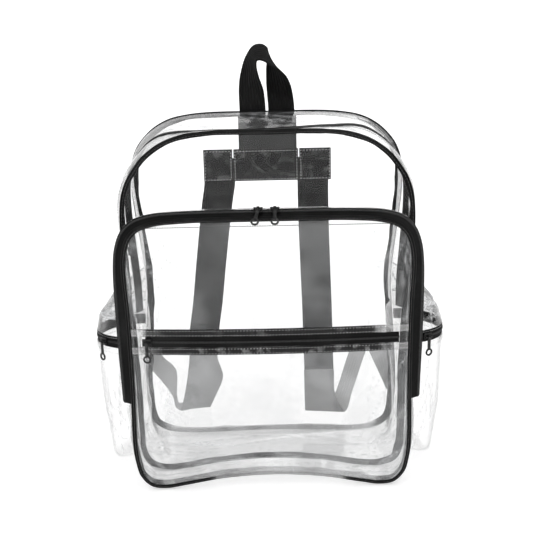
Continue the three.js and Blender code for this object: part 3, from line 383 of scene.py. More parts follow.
def loft(name, rings, closed=False, marks=None, sharp=50):
    """A closed mesh through rings of points. An open one is capped by joining the two halves of its ends."""
    count, around, _ = rings.shape
    corners = rings.reshape(-1, 3) * MM + PLACE
    i = np.arange(count if closed else count - 1)[:, None]
    j = np.arange(around)[None, :]
    here, beside = i * around + j, i * around + (j + 1) % around
    after = ((i + 1) % count) * around
    faces = np.stack([here, after + j, after + (j + 1) % around, beside], -1).reshape(-1, 4)
    run = lengths(np.vstack([rings, rings[:1]]).mean(1)) * MM
    section = rings[count // 2]
    girth = lengths(np.vstack([section, section[:1]])) * MM
    us = np.stack([run[i], run[i + 1], run[i + 1], run[i]], -1) + 0 * here[..., None]
    vs = np.stack([girth[j], girth[j], girth[j + 1], girth[j + 1]], -1) + 0 * here[..., None]
    uvs = np.stack([us, vs], -1).reshape(-1, 2)
    if not closed:
        k = np.arange(around // 2 - 1)
        low = np.stack([k, k + 1, around - 2 - k, around - 1 - k], -1)
        high = low[:, ::-1] + (count - 1) * around
        faces = np.vstack([faces, low, high])
        cap = np.stack([girth[k], girth[k + 1], girth[k + 1], girth[k]], -1)
        flat = np.zeros_like(cap)
        uvs = np.vstack([uvs, np.stack([flat, cap], -1).reshape(-1, 2),
                         np.stack([flat + run[count - 1], cap], -1).reshape(-1, 2)])
    a, b, c, d = (corners[faces[:, n]] for n in range(4))
    volume = np.einsum("ij,ij->", a, np.cross(b, c)) + np.einsum("ij,ij->", a, np.cross(c, d))
    if volume < 0:
        faces = faces[:, ::-1]
        uvs = uvs.reshape(-1, 4, 2)[:, ::-1].reshape(-1, 2)
    mesh = bpy.data.meshes.new(name)
    mesh.from_pydata(corners.tolist(), [], faces.tolist())
    layer = mesh.uv_layers.new(name="length")
    layer.data.foreach_set("uv", np.ascontiguousarray(uvs, np.float32).ravel())
    if marks is not None:
        attribute = mesh.attributes.new("fold", "FLOAT", "POINT")
        attribute.data.foreach_set("value", np.asarray(marks, np.float32).ravel())
    mesh.shade_smooth()
    mesh.set_sharp_from_angle(angle=math.radians(sharp))
    return mesh


def new_object(name, mesh, finish):
    obj = bpy.data.objects.new(name, mesh)
    bpy.context.scene.collection.objects.link(obj)
    mesh.materials.clear()
    mesh.materials.append(finish)
    return obj


def fit(obj, slot, body, *nodes):
    """Hands a finished piece to the frame."""
    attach(obj, body)
    if nodes:
        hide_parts(*nodes)
    return obj


def piece(name, mesh, finish, slot, *nodes):
    """A piece of the bag itself, in a finish by name, in place of those CAD nodes."""
    return fit(new_object(name, mesh, material(finish)), slot, "bag", *nodes)


def two_faces(outer, inner):
    """Rings round a thin wall from the grids on its two faces, or marks for them."""
    return np.concatenate([outer, inner[:, ::-1]], axis=1)


def sheet_rings(grid, thickness, way, rows, fade):
    """Rings of a thin wall whose outer face is the grid, with creases pressed into it, and their marks."""
    n = normals_of(grid, way)
    flat = np.zeros(grid.shape[:2])
    s = lengths(grid[:, grid.shape[1] // 2])[:, None] + flat
    t = lengths(grid[grid.shape[0] // 2])[None, :] + flat
    push, fold = crease_field(rows, s, t)
    outer = grid + n * (push * fade)[..., None]
    outer[..., 2] = np.maximum(outer[..., 2], grid[..., 2].min())
    return two_faces(outer, outer - n * thickness), two_faces(fold, fold)


def slab(grid, thickness):
    """Rings of a sheet whose front face is the grid and whose back face lies straight behind it."""
    return two_faces(grid, grid + np.array([0, thickness, 0]))


def eased(count):
    """That many shares from 0 to 1, closer together at both ends."""
    return 0.5 - 0.5 * np.cos(np.linspace(0, math.pi, count))


def edge_fade(shape, near):
    """1 inside a grid and 0 on its four edges, rising over that many points."""
    def rise(count):
        i = np.arange(count)
        return np.clip(np.minimum(i, count - 1 - i) / near, 0, 1)
    return np.outer(rise(shape[0]), rise(shape[1]))


def patch_between(bottom, top, left, right):
    """A grid of points between four edge lines. bottom and top run left to right, the sides run up."""
    u = np.linspace(0, 1, len(bottom))[:, None, None]
    v = np.linspace(0, 1, len(left))[None, :, None]
    sides = (1 - u) * left[None] + u * right[None]
    ends = (1 - v) * bottom[:, None] + v * top[:, None]
    corners = ((1 - u) * (1 - v) * bottom[0] + u * (1 - v) * bottom[-1]
               + (1 - u) * v * top[0] + u * v * top[-1])
    return sides + ends - corners


def outline_patch(outline, inset, pitch, low=None, high=None):
    """A grid over an outline's inside, or over the part of it between two heights."""
    def line(start, end, count):
        fine = np.linspace(start, end, 1500)
        return even_curve(outline.inset(fine, inset, 0.0), count)

    from_low = CORNER_LOW if low is None else float(outline.share_at(low))
    to_high = CORNER_HIGH if high is None else float(outline.share_at(high))
    wide = int(2 * outline.line[:, 0].max() / pitch)
    top_z = outline.line[:, 2].max()
    tall = max(4, int(((high or top_z) - (low or 0)) / pitch))
    right = line(from_low, to_high, tall)
    left = line(1 - from_low, 1 - to_high, tall)
    share = np.linspace(0, 1, wide)[:, None]
    bottom = left[0] + (right[0] - left[0]) * share
    top = left[-1] + (right[-1] - left[-1]) * share
    if low is None:
        bottom = line(1 - from_low, 1 + from_low, wide)
    if high is None:
        top = line(1 - to_high, to_high, wide)
    return patch_between(bottom, top, left, right)


def ribbon_rings(edge_a, edge_b, thickness, before=0.0, columns=12, push=None, hem=0.0):
    """Rings of a flat ribbon between two edge lines, its edges rounded. It starts at the lines, backwards."""
    travel = np.gradient((edge_a + edge_b) / 2, axis=0)
    n = np.cross(travel, edge_b - edge_a)
    n /= np.linalg.norm(n, axis=1)[:, None]
    n *= np.sign(n[0, 1])
    share = eased(columns)
    width = np.linalg.norm(edge_b - edge_a, axis=1).mean()
    to_edge = np.minimum(share, 1 - share) * width
    radius = thickness / 2
    half = radius * np.sqrt(np.clip(1 - (1 - np.minimum(to_edge / radius, 1)) ** 2, 0.03, 1))
    half = half + hem * np.exp(-((to_edge - 2.2) / 1.2) ** 2)
    across = edge_a[:, None] + (edge_b - edge_a)[:, None] * share[None, :, None]
    middle = across + n[:, None] * ((0.5 - before) * thickness)
    if push is not None:
        middle = middle + n[:, None] * push[..., None]
    near = middle - n[:, None] * half[None, :, None]
    far = middle + n[:, None] * half[None, :, None]
    return two_faces(far, near)


def plain_mesh(obj, name):
    """What an object's modifiers make of it, as a mesh of its own."""
    depsgraph = bpy.context.evaluated_depsgraph_get()
    mesh = bpy.data.meshes.new_from_object(obj.evaluated_get(depsgraph))
    mesh.name = name
    return mesh


# Rows of stitches and coil loops, made by Geometry Nodes

def row_tree():
    """A tree that repeats an item along a path, its Z along the path's out attribute and its X along it."""
    tree = bpy.data.node_groups.get("Row along a path")
    if tree:
        return tree
    tree = bpy.data.node_groups.new("Row along a path", "GeometryNodeTree")
    face = tree.interface
    face.new_socket("Geometry", in_out="INPUT", socket_type="NodeSocketGeometry")
    face.new_socket("Pitch", in_out="INPUT", socket_type="NodeSocketFloat")
    face.new_socket("Item", in_out="INPUT", socket_type="NodeSocketObject")
    face.new_socket("Finish", in_out="INPUT", socket_type="NodeSocketMaterial")
    face.new_socket("Geometry", in_out="OUTPUT", socket_type="NodeSocketGeometry")
    new, link = tree.nodes.new, tree.links.new
    start, end = new("NodeGroupInput"), new("NodeGroupOutput")
    curve = new("GeometryNodeMeshToCurve")
    link(start.outputs["Geometry"], curve.inputs["Mesh"])
    spaced = new("GeometryNodeResampleCurve")
    spaced.mode = "LENGTH"
    link(curve.outputs["Curve"], spaced.inputs["Curve"])
    link(start.outputs["Pitch"], spaced.inputs["Length"])
    out = new("GeometryNodeInputNamedAttribute")
    out.data_type = "FLOAT_VECTOR"
    out.inputs["Name"].default_value = "out"
    stand = new("FunctionNodeAlignRotationToVector")
    stand.axis = "Z"
    link(out.outputs["Attribute"], stand.inputs["Vector"])
    turn = new("FunctionNodeAlignRotationToVector")
    turn.axis, turn.pivot_axis = "X", "Z"
    link(stand.outputs["Rotation"], turn.inputs["Rotation"])
    link(new("GeometryNodeInputTangent").outputs["Tangent"], turn.inputs["Vector"])
    item = new("GeometryNodeObjectInfo")
    link(start.outputs["Item"], item.inputs["Object"])
    repeat = new("GeometryNodeInstanceOnPoints")
    link(spaced.outputs["Curve"], repeat.inputs["Points"])
    link(item.outputs["Geometry"], repeat.inputs["Instance"])
    link(turn.outputs["Rotation"], repeat.inputs["Rotation"])
    real = new("GeometryNodeRealizeInstances")
    link(repeat.outputs["Instances"], real.inputs["Geometry"])
    finish = new("GeometryNodeSetMaterial")
    link(real.outputs["Geometry"], finish.inputs["Geometry"])
    link(start.outputs["Finish"], finish.inputs["Material"])
    link(finish.outputs["Geometry"], end.inputs["Geometry"])
    return tree


def bead_mesh(name, length, width, height, waist=0.0):
    """A closed rounded bead: a stitch, or with a waist a loop of zip coil. Sizes in millimetres."""
    around, steps = 6, 5
    rings = []
    for i in range(steps + 1):
        share = -1 + 2 * i / steps
        swell = math.sqrt(max(0.06, 1 - abs(share) ** 2.6)) * (1 - waist * math.cos(share * math.pi / 2))
        angles = np.arange(around) * 2 * math.pi / around
        rings.append(np.stack([np.full(around, share * length / 2), np.cos(angles) * width / 2 * swell,
                               np.sin(angles) * height / 2 * swell], -1))
    return loft(name, np.array(rings) - PLACE / MM, sharp=80)


def row_mesh(name, lines, pitch, item, material):
    """Copies of the item mesh along each (points, outs) line, as one mesh."""
    points, outs, edges = [], [], []
    for line, out in lines:
        first = len(points)
        points += (line * MM + PLACE).tolist()
        outs += np.broadcast_to(out, line.shape).tolist()
        edges += [(first + k, first + k + 1) for k in range(len(line) - 1)]
    mesh = bpy.data.meshes.new(name + "_path")
    mesh.from_pydata(points, edges, [])
    attribute = mesh.attributes.new("out", "FLOAT_VECTOR", "POINT")
    attribute.data.foreach_set("vector", np.array(outs, np.float32).ravel())
    source = bpy.data.objects.new(name + "_item", item)
    holder = bpy.data.objects.new(name + "_row", mesh)
    for obj in (source, holder):
        bpy.context.scene.collection.objects.link(obj)
    modifier = holder.modifiers.new("Row", "NODES")
    tree = row_tree()
    values = {"Pitch": pitch * MM, "Item": source, "Finish": material}
    sockets = {s.name: s.identifier for s in tree.interface.items_tree if s.in_out == "INPUT"}
    modifier.node_group = tree
    for key, value in values.items():
        modifier[sockets[key]] = value
    made = plain_mesh(holder, name)
    for obj in (source, holder):
        bpy.data.objects.remove(obj)
    bpy.data.meshes.remove(mesh)
    bpy.data.meshes.remove(item)
    return made


def stitched(name, lines, pitch, size, finish, slot):
    """Stitches of one size along the lines, as one piece."""
    mesh = row_mesh(name, lines, pitch, bead_mesh("stitch", *size), material(finish))
    return piece(name, mesh, finish, slot)


def joined(name, meshes):
    """Several meshes as one."""
    build = bmesh.new()
    for mesh in meshes:
        build.from_mesh(mesh)
    whole = bpy.data.meshes.new(name)
    build.to_mesh(whole)
    build.free()
    for mesh in meshes:
        bpy.data.meshes.remove(mesh)
    whole.shade_smooth()
    return whole


# Materials

def new_material(name):
    material = bpy.data.materials.new(name)
    material.use_nodes = True
    material.node_tree.nodes.clear()
    return material, material.node_tree


def node(tree, kind, inputs=None, **settings):
    """A shader node with its settings, and inputs that are values or other nodes' outputs."""
    made = tree.nodes.new(kind)
    for key, value in settings.items():
        setattr(made, key, value)
    for key, value in (inputs or {}).items():
        if isinstance(value, bpy.types.NodeSocket):
            tree.links.new(value, made.inputs[key])
        else:
            made.inputs[key].default_value = value
    return made


def maths(tree, operation, a, b=0.0, c=0.0):
    """The output of a maths node."""
    return node(tree, "ShaderNodeMath", {0: a, 1: b, 2: c}, operation=operation).outputs[0]


def ranged(tree, value, low, high, to_low=0.0, to_high=1.0):
    """A value from low to high, moved to another range and kept in it."""
    inputs = {0: value, 1: low, 2: high, 3: to_low, 4: to_high}
    return node(tree, "ShaderNodeMapRange", inputs).outputs[0]


def noise(tree, scale, detail=2.0, stretch=(1.0, 1.0, 1.0)):
    """Noise by the place on the bag."""
    place = node(tree, "ShaderNodeTexCoord").outputs["Object"]
    mapped = node(tree, "ShaderNodeMapping", {"Vector": place, "Scale": stretch}).outputs[0]
    return node(tree, "ShaderNodeTexNoise", {"Vector": mapped, "Scale": scale, "Detail": detail}).outputs[0]


def split(tree, source):
    """X, Y and Z of one of the texture coordinates."""
    place = node(tree, "ShaderNodeTexCoord").outputs[source]
    return node(tree, "ShaderNodeSeparateXYZ", {0: place}).outputs


def wave(tree, value, length):
    """A sine of a value that repeats over that length."""
    return maths(tree, "SINE", maths(tree, "MULTIPLY", value, 2 * math.pi / length))


def ragged(tree, x, scale, size):
    """x moved to and fro by noise, so that an edge in it is uneven."""
    wobble = maths(tree, "SUBTRACT", noise(tree, scale, 3.0), 0.5)
    return maths(tree, "ADD", x, maths(tree, "MULTIPLY", wobble, size))


def between(tree, x, start, end, soft):
    """1 between two places, falling to 0 round each of them."""
    rise = ranged(tree, x, start - soft, start + soft)
    fall = ranged(tree, x, end - soft, end + soft, 1.0, 0.0)
    return maths(tree, "MULTIPLY", rise, fall)


def mixed(tree, share, a, b):
    """Shader a with that share of shader b."""
    return node(tree, "ShaderNodeMixShader", {0: share, 1: a, 2: b}).outputs[0]


def colour_mix(tree, factor, a, b):
    """Colour a with that share of colour b."""
    made = node(tree, "ShaderNodeMix", {0: factor, 6: (*a, 1), 7: (*b, 1)}, data_type="RGBA")
    return made.outputs[2]


def bumped(tree, height, distance, strength=1.0, under=None):
    """Normals with a relief, on top of another relief if one is given."""
    inputs = {"Height": height, "Distance": distance, "Strength": strength}
    if under is not None:
        inputs["Normal"] = under
    return node(tree, "ShaderNodeBump", inputs).outputs[0]


def finish_with(tree, shader):
    node(tree, "ShaderNodeOutputMaterial", {"Surface": shader})


def vinyl(name, haze=0.002, painted_crease_highlight=0.25, waves=0.004, gloss=0.006, cloud=(0.42, 0.75), tint=0.99,
          slant_tint=0.7):
    """Clear vinyl: it shows what is behind, reflects more at a slant, and has a painted white highlight along
    its creases.
    """
    material, tree = new_material(name)
    slow = noise(tree, 7.0, 1.0)
    fast = noise(tree, 55.0, 2.0)
    relief = bumped(tree, slow, waves, 0.6)
    relief = bumped(tree, fast, 0.0004, 0.5, relief)
    facing = node(tree, "ShaderNodeLayerWeight", {"Blend": 0.5, "Normal": relief}).outputs["Facing"]
    slant = maths(tree, "POWER", facing, 4.0)
    gloss_share = maths(tree, "MULTIPLY_ADD", slant, 0.8, gloss)
    edge_on = ranged(tree, facing, 0.55, 0.95)
    through = colour_mix(tree, edge_on, (tint, tint, tint), (slant_tint, slant_tint, slant_tint))
    clear = node(tree, "ShaderNodeBsdfTransparent", {"Color": through}).outputs[0]
    shine = node(tree, "ShaderNodeBsdfGlossy", {
        "Color": (0.95, 0.95, 0.95, 1), "Roughness": 0.09, "Normal": relief}).outputs[0]
    film = mixed(tree, gloss_share, clear, shine)
    # Painted highlight: white diffuse laid along the crease folds stands in for the highlights on the
    # creases. The cloud noise adds the sheet's real milky haze on top.
    fold = node(tree, "ShaderNodeAttribute", attribute_name="fold").outputs["Fac"]
    clouds = ranged(tree, noise(tree, 18.0, 4.0), *cloud, 0.55, 1.6)
    haze_and_crease_highlight = maths(tree, "MULTIPLY_ADD", fold, painted_crease_highlight, maths(tree, "MULTIPLY", clouds, haze))
    dull = node(tree, "ShaderNodeBsdfPrincipled", {
        "Base Color": (0.86, 0.87, 0.88, 1), "Roughness": 0.45, "Normal": relief}).outputs[0]
    finish_with(tree, mixed(tree, haze_and_crease_highlight, film, dull))
    return material


def woven(name, colour, worn, pitch=(0.0009, 0.0009), depth=0.00018, roughness=0.75,
          patches=(14.0, 0.45, 0.72), ribs=0.0, shine=0.12):
    """Woven cloth by its own length and width, with lighter worn patches and, across it, ribs."""
    material, tree = new_material(name)
    parts = split(tree, "UV")
    weave = maths(tree, "MULTIPLY", wave(tree, parts[0], pitch[0]), wave(tree, parts[1], pitch[1]))
    relief = bumped(tree, weave, depth)
    if ribs:
        relief = bumped(tree, wave(tree, parts[1], ribs), depth * 1.6, 1.0, relief)
    scale, low, high = patches
    wear = ranged(tree, noise(tree, scale, 6.0), low, high)
    shade = maths(tree, "MULTIPLY_ADD", weave, 0.12, wear)
    rough = ranged(tree, wear, 0.0, 1.0, roughness, roughness - 0.2)
    cloth = node(tree, "ShaderNodeBsdfPrincipled", {
        "Base Color": colour_mix(tree, shade, colour, worn), "Roughness": rough, "Normal": relief,
        "Sheen Weight": 0.02, "Sheen Roughness": 0.4, "Specular IOR Level": shine}).outputs[0]
    finish_with(tree, cloth)
    return material


def part_clear(name, colour, worn, from_x, to_x, below, clear_grey, roughness=0.5):
    """Black tape, but clear and grey at its bottom between two places across."""
    material, tree = new_material(name)
    parts = split(tree, "Object")
    x = ragged(tree, parts[0], 90.0, 0.02)
    low = ranged(tree, parts[2], below, below + 0.01, 1.0, 0.0)
    bare = maths(tree, "MULTIPLY", between(tree, x, from_x, to_x, 0.006), low)
    relief = bumped(tree, wave(tree, split(tree, "UV")[1], 0.0007), 0.0001)
    patches = ranged(tree, noise(tree, 40.0, 5.0), 0.5, 0.75)
    cloth = node(tree, "ShaderNodeBsdfPrincipled", {
        "Base Color": colour_mix(tree, patches, colour, worn), "Roughness": roughness, "Normal": relief,
        "Specular IOR Level": 0.2}).outputs[0]
    clear = node(tree, "ShaderNodeBsdfTransparent", {"Color": (0.9, 0.9, 0.9, 1)}).outputs[0]
    streaks = ranged(tree, noise(tree, 30.0, 4.0, (0.25, 1.0, 2.0)), 0.38, 0.66)
    milky = node(tree, "ShaderNodeBsdfPrincipled", {
        "Base Color": colour_mix(tree, streaks, clear_grey, (0.7, 0.7, 0.7)), "Roughness": 0.25,
        "Normal": relief}).outputs[0]
    sheet = mixed(tree, ranged(tree, streaks, 0.0, 1.0, 0.55, 0.2), clear, milky)
    finish_with(tree, mixed(tree, bare, cloth, sheet))
    return material


def lighter(colour, factor):
    """A colour with each of its parts times the factor."""
    return tuple(c * factor for c in colour)


def metal_paint(name, colour):
    """Painted die-cast metal, worn a little brighter in patches."""
    material, tree = new_material(name)
    patches = ranged(tree, noise(tree, 220.0, 4.0), 0.5, 0.75)
    relief = bumped(tree, noise(tree, 900.0, 3.0), 0.00004)
    worn = tuple(min(1.0, c * 4 + 0.02) for c in colour)
    paint = node(tree, "ShaderNodeBsdfPrincipled", {
        "Base Color": colour_mix(tree, patches, colour, worn), "Metallic": 0.3, "Specular IOR Level": 0.3,
        "Roughness": ranged(tree, patches, 0.0, 1.0, 0.3, 0.5), "Normal": relief}).outputs[0]
    finish_with(tree, paint)
    return material


def thread(name, colour):
    """Twisted sewing thread."""
    material, tree = new_material(name)
    twist = noise(tree, 900.0, 2.0)
    cloth = node(tree, "ShaderNodeBsdfPrincipled", {
        "Base Color": colour_mix(tree, twist, lighter(colour, 0.7), colour), "Roughness": 0.5,
        "Normal": bumped(tree, twist, 0.0001), "Sheen Weight": 0.2}).outputs[0]
    finish_with(tree, cloth)
    return material


def coated_tape(name, colour, fade_left, fade_right, flecks):
    """Clear sheet over black tape: dark and mottled between two places across, and clear beyond them."""
    material, tree = new_material(name)
    x = ragged(tree, split(tree, "Object")[0], 120.0, 0.03)
    black = between(tree, x, fade_left, fade_right, 0.012)
    relief = bumped(tree, noise(tree, 150.0, 8.0), 0.0003, 0.8)
    mottle = ranged(tree, noise(tree, 110.0, 10.0), 0.52, 0.72)
    dark = node(tree, "ShaderNodeBsdfPrincipled", {
        "Base Color": colour_mix(tree, mottle, colour, (flecks, flecks, flecks)),
        "Roughness": 0.3, "Normal": relief, "Specular IOR Level": 0.2, "Coat Weight": 0.15,
        "Coat Roughness": 0.15}).outputs[0]
    facing = node(tree, "ShaderNodeLayerWeight", {"Blend": 0.5, "Normal": relief}).outputs["Facing"]
    slant = maths(tree, "MULTIPLY_ADD", maths(tree, "POWER", facing, 3.0), 0.9, 0.12)
    clear = node(tree, "ShaderNodeBsdfTransparent", {"Color": (0.9, 0.9, 0.9, 1)}).outputs[0]
    gloss = node(tree, "ShaderNodeBsdfGlossy", {
        "Color": (0.95, 0.95, 0.95, 1), "Roughness": 0.12, "Normal": relief}).outputs[0]
    finish_with(tree, mixed(tree, black, mixed(tree, slant, clear, gloss), dark))
    return material


def clear_finishes(haze):
    """What each clear finish is made with: how milky, wavy, glossy, cloudy and grey it is, and its painted
    crease highlight.
    """
    return {
        "clear_sheet": dict(haze=haze),
        "wall_sheet": dict(haze=haze * 9, painted_crease_highlight=0.3, gloss=0.05, tint=0.98),
        "pocket_sheet": dict(haze=haze * 14, painted_crease_highlight=0.3, cloud=(0.46, 0.56)),
        "low_pocket_sheet": dict(haze=haze * 50, painted_crease_highlight=0.3, cloud=(0.42, 0.6), tint=0.985),
        "side_sheet": dict(haze=haze * 2, painted_crease_highlight=0.35, waves=0.006, gloss=0.015, slant_tint=0.85),
        "dome_sheet": dict(haze=haze * 4, painted_crease_highlight=0.9, waves=0.012, gloss=0.02, tint=0.9, slant_tint=0.08),
        "floor_sheet": dict(haze=haze * 8, painted_crease_highlight=0.3, waves=0.006, gloss=0.02, tint=0.95),
        "end_sheet": dict(haze=haze * 3, painted_crease_highlight=0.4, waves=0.01),
    }


def cloth_finishes(look):
    """What each woven finish is made with."""
    cloth, webbing, ribs = (0.0012, 0.0012), (0.0022, 0.0016), 0.0033
    return {
        "zip_tape": dict(colour=look.tape, worn=lighter(look.tape, 3), depth=0.0001),
        "binding": dict(colour=look.binding, worn=lighter(look.binding, 4), pitch=(0.0011, 0.0007),
                        depth=0.00012, roughness=0.5),
        "strap_cloth": dict(colour=look.strap, worn=lighter(look.strap, 2.2), pitch=cloth, depth=0.0002,
                            roughness=0.7, patches=(42.0, 0.48, 0.62), shine=0.25),
        "patch_cloth": dict(colour=lighter(look.strap, 5), worn=lighter(look.strap, 8), pitch=cloth,
                            depth=0.0002, roughness=0.7),
        "strap_end": dict(colour=look.webbing, worn=lighter(look.webbing, 1.5), pitch=cloth, depth=0.0001,
                          patches=(16.0, 0.48, 0.53)),
        "webbing": dict(colour=lighter(look.webbing, 1.9), worn=lighter(look.webbing, 2.3), pitch=webbing,
                        depth=0.00005, patches=(16.0, 0.47, 0.58), ribs=ribs),
        "handle_webbing": dict(colour=look.tape, worn=lighter(look.tape, 3), pitch=webbing, depth=0.00022,
                               ribs=ribs),
    }


def tape_finishes(look):
    """What the finishes are made with that are black in part: the folded tapes, then the coated strips."""
    tape = dict(colour=look.binding, worn=lighter(look.binding, 4))
    folded = {
        "back_seam": dict(from_x=-0.13, to_x=0.13, below=0.03, clear_grey=(0.33, 0.33, 0.33), **tape),
        "pocket_seam": dict(from_x=-0.125, to_x=0.12, below=0.08, clear_grey=(0.25, 0.25, 0.25), **tape),
        "pocket_trim": dict(from_x=-0.066, to_x=0.082, below=0.03, clear_grey=(0.3, 0.3, 0.3), **tape),
    }
    strips = {
        "facing_upper": dict(colour=look.tape, fade_left=-0.131, fade_right=0.118, flecks=0.08),
        "facing_lower": dict(colour=look.tape, fade_left=-0.128, fade_right=0.125, flecks=0.2),
        "yoke_cloth": dict(colour=look.tape, fade_left=-1.0, fade_right=1.0, flecks=0.11),
    }
    return folded, strips


def thread_finishes(look):
    """What each thread is made with, and the paint of the sliders."""
    threads = {
        "zip_coil": dict(colour=lighter(look.tape, 3.5)),
        "dark_thread": dict(colour=look.dark_thread),
        "black_thread": dict(colour=lighter(look.tape, 3)),
        "clear_thread": dict(colour=look.clear_thread),
    }
    return threads, {"zip_metal": dict(colour=look.metal)}


MATERIALS = {}


def material(name):
    """A finish of the bag by name, made from the sidebar's colours when it is first asked for."""
    if name not in MATERIALS:
        look = bpy.context.scene.backpack_colours
        folded, strips = tape_finishes(look)
        threads, paints = thread_finishes(look)
        kinds = ((vinyl, clear_finishes(look.haze)), (woven, cloth_finishes(look)), (part_clear, folded),
                 (coated_tape, strips), (thread, threads), (metal_paint, paints))
        for make, finishes in kinds:
            if name in finishes:
                MATERIALS[name] = make(name, **finishes[name])
    return MATERIALS[name]


# Sizes and colours that a user would change

class BackpackSizes(bpy.types.PropertyGroup):
    sheet: FloatProperty(
        name="Sheet thickness", description="Thickness of the clear vinyl", default=0.0008,
        min=0.0003, max=0.001, unit="LENGTH", precision=4)
    grid: FloatProperty(
        name="Sheet detail", description="How finely the sheets are divided, in millimetres", default=3.0,
        min=2.0, max=8.0)
    crease: FloatProperty(
        name="Crease height", description="How deep the creases are, as a factor", default=1.0,
        min=0.0, max=2.0)
    stitch: FloatProperty(
        name="Stitch pitch", description="Length from one stitch to the next", default=0.0036,
        min=0.002, max=0.008, unit="LENGTH", precision=4)
    coil: FloatProperty(
        name="Coil pitch", description="Length from one loop of a zip's coil to the next", default=0.0015,
        min=0.001, max=0.003, unit="LENGTH", precision=4)


def colour_setting(name, description, grey):
    """A colour in the sidebar, grey to begin with."""
    return FloatVectorProperty(name=name, description=description, subtype="COLOR", size=3,
                               default=(grey, grey, grey), min=0, max=1)


class BackpackColours(bpy.types.PropertyGroup):
    haze: FloatProperty(
        name="Haze", description="How milky the clear sheet is", default=0.002, min=0.0, max=0.2)
    tape: colour_setting("Zip tape", "Colour of the zips and the handle", 0.006)
    binding: colour_setting("Binding", "Colour of the bindings", 0.005)
    strap: colour_setting("Straps", "Colour of the straps", 0.012)
    webbing: colour_setting("Webbing", "Colour of the single-layer strap ends and webbing", 0.26)
    metal: colour_setting("Sliders", "Colour of the painted sliders", 0.012)
    dark_thread: colour_setting("Dark thread", "Colour of the thread on the bindings", 0.09)
    clear_thread: colour_setting("Clear thread", "Colour of the clear thread on the facings", 0.75)


class BackpackStage(bpy.types.PropertyGroup):
    key: FloatProperty(
        name="Key light", description="Power of the main light, in watts", default=6.0, min=0, max=500)
    sky: FloatProperty(
        name="Surroundings", description="Brightness of the studio", default=0.5, min=0, max=5)


# Piece makers

def lofted(name, rings, finish, slot, *nodes, **how):
    """A piece that is one loft through rings of points."""
    return piece(name, loft(name, rings, **how), finish, slot, *nodes)


def clear_panel(name, outline, node_name, depth, way, seed, bow):
    """One of the two flat panels, with creases towards its corners."""
    sizes = bpy.context.scene.backpack_sizes
    grid = outline_patch(outline, SEAM_INSET, sizes.grid)
    x, z = grid[..., 0], grid[..., 2]
    half, tall = outline.line[:, 0].max(), outline.line[:, 2].max()
    low, high = (tall * 0.02, tall * 0.14), (tall * 0.85, tall * 0.95)
    rows = []
    for side in (-1, 1):
        band = sorted((side * half * 0.72, side * half * 0.98))
        rows += crease_rows(seed + side, 6, band, low, 60 * side, 40, 20, 0.7)
        rows += crease_rows(seed + side + 4, 4, band, high, -50 * side, 40, 18, 0.6)
    push, fold = crease_field(rows, x, z)
    swell = bow * (1 - (x / half) ** 2) * (1 - (2 * z / tall - 1) ** 2)
    grid[..., 1] = depth + way * (push * sizes.crease * edge_fade(x.shape, 6) + swell)
    inner = grid.copy()
    inner[..., 1] -= way * sizes.sheet / MM
    lofted(name, two_faces(grid, inner), "clear_sheet", "clear_vinyl", node_name,
           marks=two_faces(fold, fold))


def wall_places(outline, surface, start, end, pitch):
    """Places along a wall between two shares of its outline, and the wall's length."""
    places = outline.evenly(start, end, pitch)
    return places, lengths(surface(places, np.full(places.shape, 0.5)))[-1]


def wall_piece(name, surface, alongs, acrosses, node_name, finish, rows, way=1.0, reach=6):
    """A thin wall that follows a surface, creased by rows in its own length and width."""
    sizes = bpy.context.scene.backpack_sizes
    a, b = np.meshgrid(alongs, acrosses, indexing="ij")
    scaled = [(*row[:5], row[5] * sizes.crease) for row in rows]
    rings, marks = sheet_rings(surface(a, b), sizes.sheet / MM, way, scaled, edge_fade(a.shape, reach))
    lofted(name, rings, finish, "clear_vinyl", node_name, marks=marks)


def make_main_compartment():
    clear_panel("back_sheet", back_outline, "back_panel", BACK_PLANE, 1, 11, -1.5)
    clear_panel("main_front_sheet", front_outline, "main_front_panel", FRONT_PLANE, -1, 31, -2.0)
    depth = GUSSET_REAR - GUSSET_FRONT
    half_zip, slit = ZIP_WIDTH / depth / 2, SEAM_GAP / depth
    start = float(front_outline.share_at(MAIN_ZIP_END))
    upper, length = wall_places(front_outline, main_surface, start, 1 - start, MAIN_WALL_STEP)
    strips = {"rear": (0, 0.5 - half_zip - slit, 51), "front": (0.5 + half_zip + slit, 1, 52)}
    for label, (low, high, seed) in strips.items():
        rows = crease_rows(seed, 34, (0, length), (3, 33), 0, 9, 55, 1.7)
        rows += crease_rows(seed + 9, 12, (0, length), (3, 33), 70, 40, 14, 1.3)
        wall_piece(f"main_wall_{label}", main_surface, upper, np.linspace(low, high, 16),
                   f"main_gusset_{label}", "wall_sheet", rows, reach=2)
    start = float(front_outline.share_at(MAIN_ZIP_END - SEAM_GAP))
    lower, length = wall_places(front_outline, main_surface, 1 - start, 1 + start, MAIN_WALL_STEP)
    deep = (4, 90)
    rows = crease_rows(71, 20, (0, length * 0.27), deep, 0, 14, 60, 1.8)
    rows += crease_rows(72, 20, (length * 0.73, length), deep, 0, 14, 60, 1.8)
    rows += crease_rows(74, 10, (length * 0.18, length * 0.3), deep, 60, 30, 26, 2.0)
    rows += crease_rows(75, 10, (length * 0.7, length * 0.82), deep, 120, 30, 26, 2.0)
    rows += crease_rows(73, 14, (length * 0.3, length * 0.7), deep, 8, 14, 70, 1.3)
    wall_piece("main_wall_bottom", main_surface, lower, np.linspace(0, 1, 34), "main_gusset_bottom",
               "floor_sheet", rows, reach=3)


